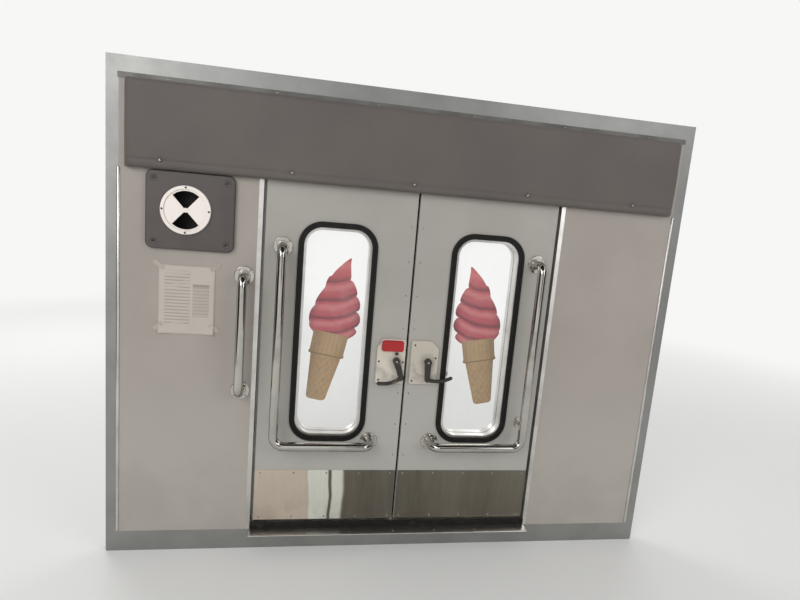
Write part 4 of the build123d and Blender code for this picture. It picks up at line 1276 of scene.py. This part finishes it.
class REARWALL_OT_header_trim(bpy.types.Operator):
    """Flat metal strip that covers the joint between the header pad, the linings and the roof rail"""
    bl_idname = "rear_wall.header_trim"
    bl_label = "Header trim"

    def execute(self, context):
        pad_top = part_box("header_pad")[1].z
        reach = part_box("lining_right")[1].x + TRIM_REACH
        foot, top = pad_top - TRIM_OVERLAP, pad_top + TRIM_RISE
        front = LINING_FACE - TRIM_THICKNESS
        maker = bmesh.new()
        slab(maker, [(-reach, foot), (reach, foot), (reach, top), (-reach, top)], front, LINING_FACE)
        bmesh.ops.bevel(maker, geom=maker.edges[:], offset=TRIM_EDGE, segments=2, affect="EDGES")
        new_piece("header_trim", maker, "trim_grey", smooth=False)
        row = spread(-TRIM_SCREW_REACH, TRIM_SCREW_REACH, TRIM_SCREWS)
        screws("header_trim_screws", [(x, front, (foot + top) / 2) for x in row], TRIM_SCREW_RADIUS)
        return {"FINISHED"}


FLUTE_PITCH = 0.0125
FLUTE_DEPTH = 0.0013
FLUTE_STEPS = 8
FLUTE_ROWS = 10
FLUTE_MARGIN = 0.009
FLUTE_SINK = 0.0004
FLUTE_LIFT = 0.0003
FLUTE_BACK = 0.003


class REARWALL_OT_lamp_flutes(bpy.types.Operator):
    """Upright flutes moulded into each lamp lens"""
    bl_idname = "rear_wall.lamp_flutes"
    bl_label = "Lamp flutes"

    def execute(self, context):
        for tint in ("red", "clear"):
            maker = bmesh.new()
            for low, high in self.lens_boxes(tint + "_lenses"):
                self.flute(maker, low, high)
            new_piece(tint + "_lens_flutes", maker, "lens_" + tint)
        return {"FINISHED"}

    @staticmethod
    def lens_boxes(node):
        """Box of each separate lens in a node, by walking its joined vertices."""
        maker = bmesh.new()
        maker.from_mesh(NODES[node].data)
        bmesh.ops.remove_doubles(maker, verts=maker.verts, dist=1e-5)
        left, boxes = set(maker.verts), []
        while left:
            waiting, seen = [left.pop()], []
            while waiting:
                vertex = waiting.pop()
                seen.append(vertex.co.copy())
                joined = {edge.other_vert(vertex) for edge in vertex.link_edges} & left
                left -= joined
                waiting += joined
            boxes.append((Vector([min(place[k] for place in seen) for k in range(3)]),
                          Vector([max(place[k] for place in seen) for k in range(3)])))
        maker.free()
        return sorted(boxes, key=lambda box: (round(box[0].x, 4), round(box[0].z, 4)))

    @staticmethod
    def flute(maker, low, high):
        """Fluted plate on one lens, dying into its face at the edges."""
        x0, x1 = low.x + FLUTE_MARGIN, high.x - FLUTE_MARGIN
        z0, z1 = low.z + FLUTE_MARGIN, high.z - FLUTE_MARGIN
        count = int((x1 - x0) / FLUTE_PITCH)
        grid = []
        for v in spread(0.0, 1.0, FLUTE_ROWS + 1):
            fade = min(1.0, 6 * min(v, 1 - v))
            line = []
            for u in spread(0.0, 1.0, count * FLUTE_STEPS + 1):
                wave = abs(math.sin(math.pi * count * u))
                edge = min(1.0, 10 * min(u, 1 - u))
                y = high.y - FLUTE_SINK + (FLUTE_DEPTH * wave + FLUTE_LIFT) * fade * edge
                line.append(maker.verts.new((x0 + (x1 - x0) * u, y, z0 + (z1 - z0) * v)))
            grid.append(line)
        rim = cover_grid(maker, grid)
        back = [maker.verts.new((vertex.co.x, high.y - FLUTE_BACK, vertex.co.z)) for vertex in rim]
        bridge(maker, rim, back)
        maker.faces.new(back)


# Tread bars start clear of the hinge and stay clear of the catches; their profile is (share of the
# outline, height)
HINGE_CLEARANCE = 0.014
CATCH_MIDDLE = 0.030
CATCH_CLEARANCE = 0.046
BAR_START = (0.75, 0.70)
BAR_LENGTH = 0.44
BAR_GIRTH = 0.30
BAR_PROFILE = ((1.0, -0.0002), (0.82, 0.0010), (0.45, 0.0016))


class REARWALL_OT_tread(bpy.types.Operator):
    """Raised tread bars on the lower guards, alternately leaning left and right"""
    bl_idname = "rear_wall.tread"
    bl_label = "Tread bars"

    def execute(self, context):
        pitch = sizes().tread_pitch
        low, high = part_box("corner_guards")
        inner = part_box("hinge_frame_right")[1].x + HINGE_CLEARANCE
        catch_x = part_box("hold_open_catches")[1].x - CATCH_MIDDLE
        catch_z = node_middle("hold_open_catches").z
        columns = int((high.x - inner - pitch) / pitch)
        rows = int((high.z - low.z - pitch) / pitch)
        half = pitch * BAR_LENGTH
        maker = bmesh.new()
        for j in range(rows + 1):
            for i in range(columns + 1):
                x, z = inner + pitch * (i + BAR_START[0]), low.z + pitch * (j + BAR_START[1])
                if abs(x - catch_x) < CATCH_CLEARANCE and abs(z - catch_z) < CATCH_CLEARANCE:
                    continue
                lean = math.radians(-45 if (i + j) % 2 else 45)
                layers = [(turned([(a, b * BAR_GIRTH) for a, b in circle(half * share, 12)], lean), rise)
                          for share, rise in BAR_PROFILE]
                for sign in SIDES.values():
                    stack(maker, Vector((sign * x, high.y, z)), OUTWARD, layers)
        new_piece("tread_bars", maker, "bare_aluminium")
        return {"FINISHED"}


KEY_SEGMENTS = 32
KEY_PROFILE = ((0.0125, 0.0), (0.0125, 0.003), (0.0110, 0.0045), (0.0085, 0.0045), (0.0082, 0.0035),
               (0.0035, 0.0035))
KEY_SLOT_HALF = (0.0009, 0.0032)
KEY_SLOT_FOOT = 0.0012
KEY_DROP = 0.022


class REARWALL_OT_key_locks(bpy.types.Operator):
    """Key cylinder in the flange under each outside handle"""
    bl_idname = "rear_wall.key_locks"
    bl_label = "Key locks"

    def execute(self, context):
        width, length = KEY_SLOT_HALF
        slot = [(math.copysign(width, a) * abs(a) ** 0.3, length * b)
                for a, b in circle(1.0, KEY_SEGMENTS)]
        layers = [(circle(radius, KEY_SEGMENTS), rise) for radius, rise in KEY_PROFILE]
        layers += [(slot, KEY_PROFILE[-1][1]), (slot, KEY_SLOT_FOOT)]
        for side in SIDES:
            dish = "handle_dish_" + side
            place = Vector((node_middle(dish).x, SKIN_FACE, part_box(dish)[0].z - KEY_DROP))
            maker = bmesh.new()
            stack(maker, place, OUTWARD, layers)
            new_piece("key_lock_" + side, maker, "hardware_steel", "door_" + side)
        return {"FINISHED"}


# Where the photograph was taken from, and how its camera was turned
PHOTO_PLACE = Vector((-0.4385, -2.243, 1.486))
PHOTO_RIGHT = Vector((0.94569, -0.30681, 0.10743))
PHOTO_UP = Vector((-0.05028, 0.18845, 0.98080))
PHOTO_FORWARD = Vector((0.32116, 0.93293, -0.16279))
PHOTO_LENS_MM = 14.87
SENSOR_MM = 36.0

# What the camera looks at, from the middle of the lining's face
LOOK_ASIDE = -0.05
LOOK_RISE = 0.145

# The studio: its backdrop, the reach of its floor, its lamps and the cards that bright metal mirrors
BACKDROP = (0.93, 0.93, 0.92)
FLOOR_REACH = 30.0
LAMP_SIZE = 3.0
LAMP_AIM = Vector((0, 0, 1.0))
LAMPS = {
    "lamp_front_left": ((-3.2, -4.2, 3.4), 1.0),
    "lamp_front_right": ((3.6, -3.6, 2.6), 0.55),
    "lamp_behind_left": ((-3.4, 4.2, 3.2), 0.85),
    "lamp_behind_right": ((3.2, 4.0, 3.4), 0.45),
}
DARK_CARDS = {
    "dark_card_left": ((-3.2, -3.6, 0.1), (-3.2, -0.2, 0.1), (-3.2, -0.2, 3.0), (-3.2, -3.6, 3.0)),
    "dark_card_right": ((3.2, -3.6, 0.1), (3.2, -0.2, 0.1), (3.2, -0.2, 3.0), (3.2, -3.6, 3.0)),
    "dark_card_above": ((-2.0, -3.6, 3.4), (2.0, -3.6, 3.4), (2.0, -0.2, 3.4), (-2.0, -0.2, 3.4)),
    "dark_card_front": ((0.3, -5.5, 0.4), (2.4, -5.5, 0.4), (2.4, -5.5, 3.0), (0.3, -5.5, 3.0)),
}


def seen_directly(nodes):
    """1 for rays that show the backdrop itself: those of the camera, of reflections and through glass."""
    return greatest([nodes.node("ShaderNodeLightPath", out=ray)
                     for ray in ("Is Camera Ray", "Is Glossy Ray", "Is Transmission Ray")])


def studio_plane(name, corners, finish):
    """One flat face of the studio, kept apart from the wall."""
    mesh = bpy.data.meshes.new(name)
    mesh.from_pydata(corners, [], [range(len(corners))])
    mesh.materials.append(FINISHES[finish])
    piece = bpy.data.objects.new(name, mesh)
    bpy.context.scene.collection.objects.link(piece)
    return piece


class REARWALL_OT_stage(bpy.types.Operator):
    """Pale floor, soft studio light and the camera"""
    bl_idname = "rear_wall.stage"
    bl_label = "Stage"

    def execute(self, context):
        stage = context.scene.rear_wall_stage
        self.floor(stage.floor)
        self.lamps(stage.key_power)
        self.dark_cards()
        self.sky(stage.sky)
        self.camera(PHOTO_LENS_MM * stage.zoom)
        context.scene.view_settings.view_transform = "Standard"
        return {"FINISHED"}

    @staticmethod
    def floor(colour):
        """A wide pale floor under the sill, which turns into the backdrop far from the wall."""
        finish = Finish("studio_floor", colour, 0.9)
        finish.paint(colour, (finish.noise(1.5, 3), shade(colour, 0.985)))
        far = ((finish.x ** 2 + finish.y ** 2) ** 0.5).rise(2.6, 7.5)
        glow = finish.node("ShaderNodeEmission", {}, {"Color": BACKDROP})
        mixed = finish.node("ShaderNodeMixShader", {},
                            {0: far * seen_directly(finish), 1: finish.surface, 2: glow})
        finish.feed(finish.tree.get_output_node("ALL").inputs["Surface"], mixed)
        reach = FLOOR_REACH
        studio_plane("studio_floor", [(-reach, -reach, 0), (reach, -reach, 0), (reach, reach, 0),
                                      (-reach, reach, 0)], "studio_floor")

    @staticmethod
    def lamps(power):
        """Large soft lamps in front and behind."""
        for name, (place, share) in LAMPS.items():
            data = bpy.data.lights.new(name, "AREA")
            data.energy = power * share
            data.shape = "SQUARE"
            data.size = LAMP_SIZE
            lamp = bpy.data.objects.new(name, data)
            lamp.location = place
            lamp.rotation_euler = (LAMP_AIM - lamp.location).to_track_quat("-Z", "Y").to_euler()
            bpy.context.scene.collection.objects.link(lamp)

    @staticmethod
    def dark_cards():
        """Dark studio cards at the sides, overhead and in front, which only bright metal mirrors."""
        Finish("dark_card", (0.02, 0.02, 0.02), 0.9)
        for name, corners in DARK_CARDS.items():
            card = studio_plane(name, corners, "dark_card")
            card.visible_camera = False
            card.visible_diffuse = False
            card.visible_transmission = False
            card.visible_shadow = False

    @staticmethod
    def sky(strength):
        """Even pale light from all round, brighter where the camera or a mirror sees it."""
        world = bpy.data.worlds.new("studio_sky")
        world.use_nodes = True
        nodes = NodeTree(world.node_tree)
        brightness = nodes.node("ShaderNodeMapRange", {}, {"Value": seen_directly(nodes),
                                                           "To Min": strength, "To Max": 1.0})
        light = nodes.node("ShaderNodeBackground", {}, {"Color": BACKDROP, "Strength": brightness})
        nodes.node("ShaderNodeOutputWorld", {}, {"Surface": light})
        bpy.context.scene.world = world

    @staticmethod
    def camera(lens_mm):
        """The photograph's station and roll, turned to the middle of the wall and drawn nearer."""
        data = bpy.data.cameras.new("photo_camera")
        data.sensor_width = SENSOR_MM
        data.lens = lens_mm
        camera = bpy.data.objects.new("photo_camera", data)
        middle = Vector((LOOK_ASIDE, LINING_FACE, (CAD_BOX[0][2] + CAD_BOX[1][2]) / 2 + LOOK_RISE))
        forward = (middle - PHOTO_PLACE).normalized()
        turn = PHOTO_FORWARD.rotation_difference(forward).to_matrix()
        basis = Matrix((turn @ PHOTO_RIGHT, turn @ PHOTO_UP, -forward)).transposed()
        camera.matrix_world = Matrix.Translation(PHOTO_PLACE) @ basis.to_4x4()
        bpy.context.scene.collection.objects.link(camera)
        bpy.context.scene.camera = camera


class REARWALL_PT_panel(bpy.types.Panel):
    """Lists the parts of the wall's dressing"""
    bl_idname = "REARWALL_PT_panel"
    bl_label = "Rear wall"
    bl_space_type = "VIEW_3D"
    bl_region_type = "UI"
    bl_category = "Rear wall"

    def draw(self, context):
        for operator in OPERATORS:
            self.layout.operator(operator.bl_idname)


OPERATORS = (REARWALL_OT_finishes, REARWALL_OT_header_pad, REARWALL_OT_screws, REARWALL_OT_cones,
             REARWALL_OT_notice, REARWALL_OT_tab_frame, REARWALL_OT_corner_beads,
             REARWALL_OT_header_trim, REARWALL_OT_lamp_flutes, REARWALL_OT_tread,
             REARWALL_OT_key_locks, REARWALL_OT_stage)
CLASSES = (RearWallColours, RearWallSizes, RearWallStage) + OPERATORS + (REARWALL_PT_panel,)


def register():
    for part in CLASSES:
        bpy.utils.register_class(part)
    bpy.types.Scene.rear_wall_colours = bpy.props.PointerProperty(type=RearWallColours)
    bpy.types.Scene.rear_wall_sizes = bpy.props.PointerProperty(type=RearWallSizes)
    bpy.types.Scene.rear_wall_stage = bpy.props.PointerProperty(type=RearWallStage)


def unregister():
    del bpy.types.Scene.rear_wall_stage
    del bpy.types.Scene.rear_wall_sizes
    del bpy.types.Scene.rear_wall_colours
    for part in reversed(CLASSES):
        bpy.utils.unregister_class(part)


def main():
    """Registers the add-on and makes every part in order."""
    register()
    for operator in OPERATORS:
        group, name = operator.bl_idname.split(".")
        getattr(getattr(bpy.ops, group), name)()


if __name__ == "__main__":
    main()
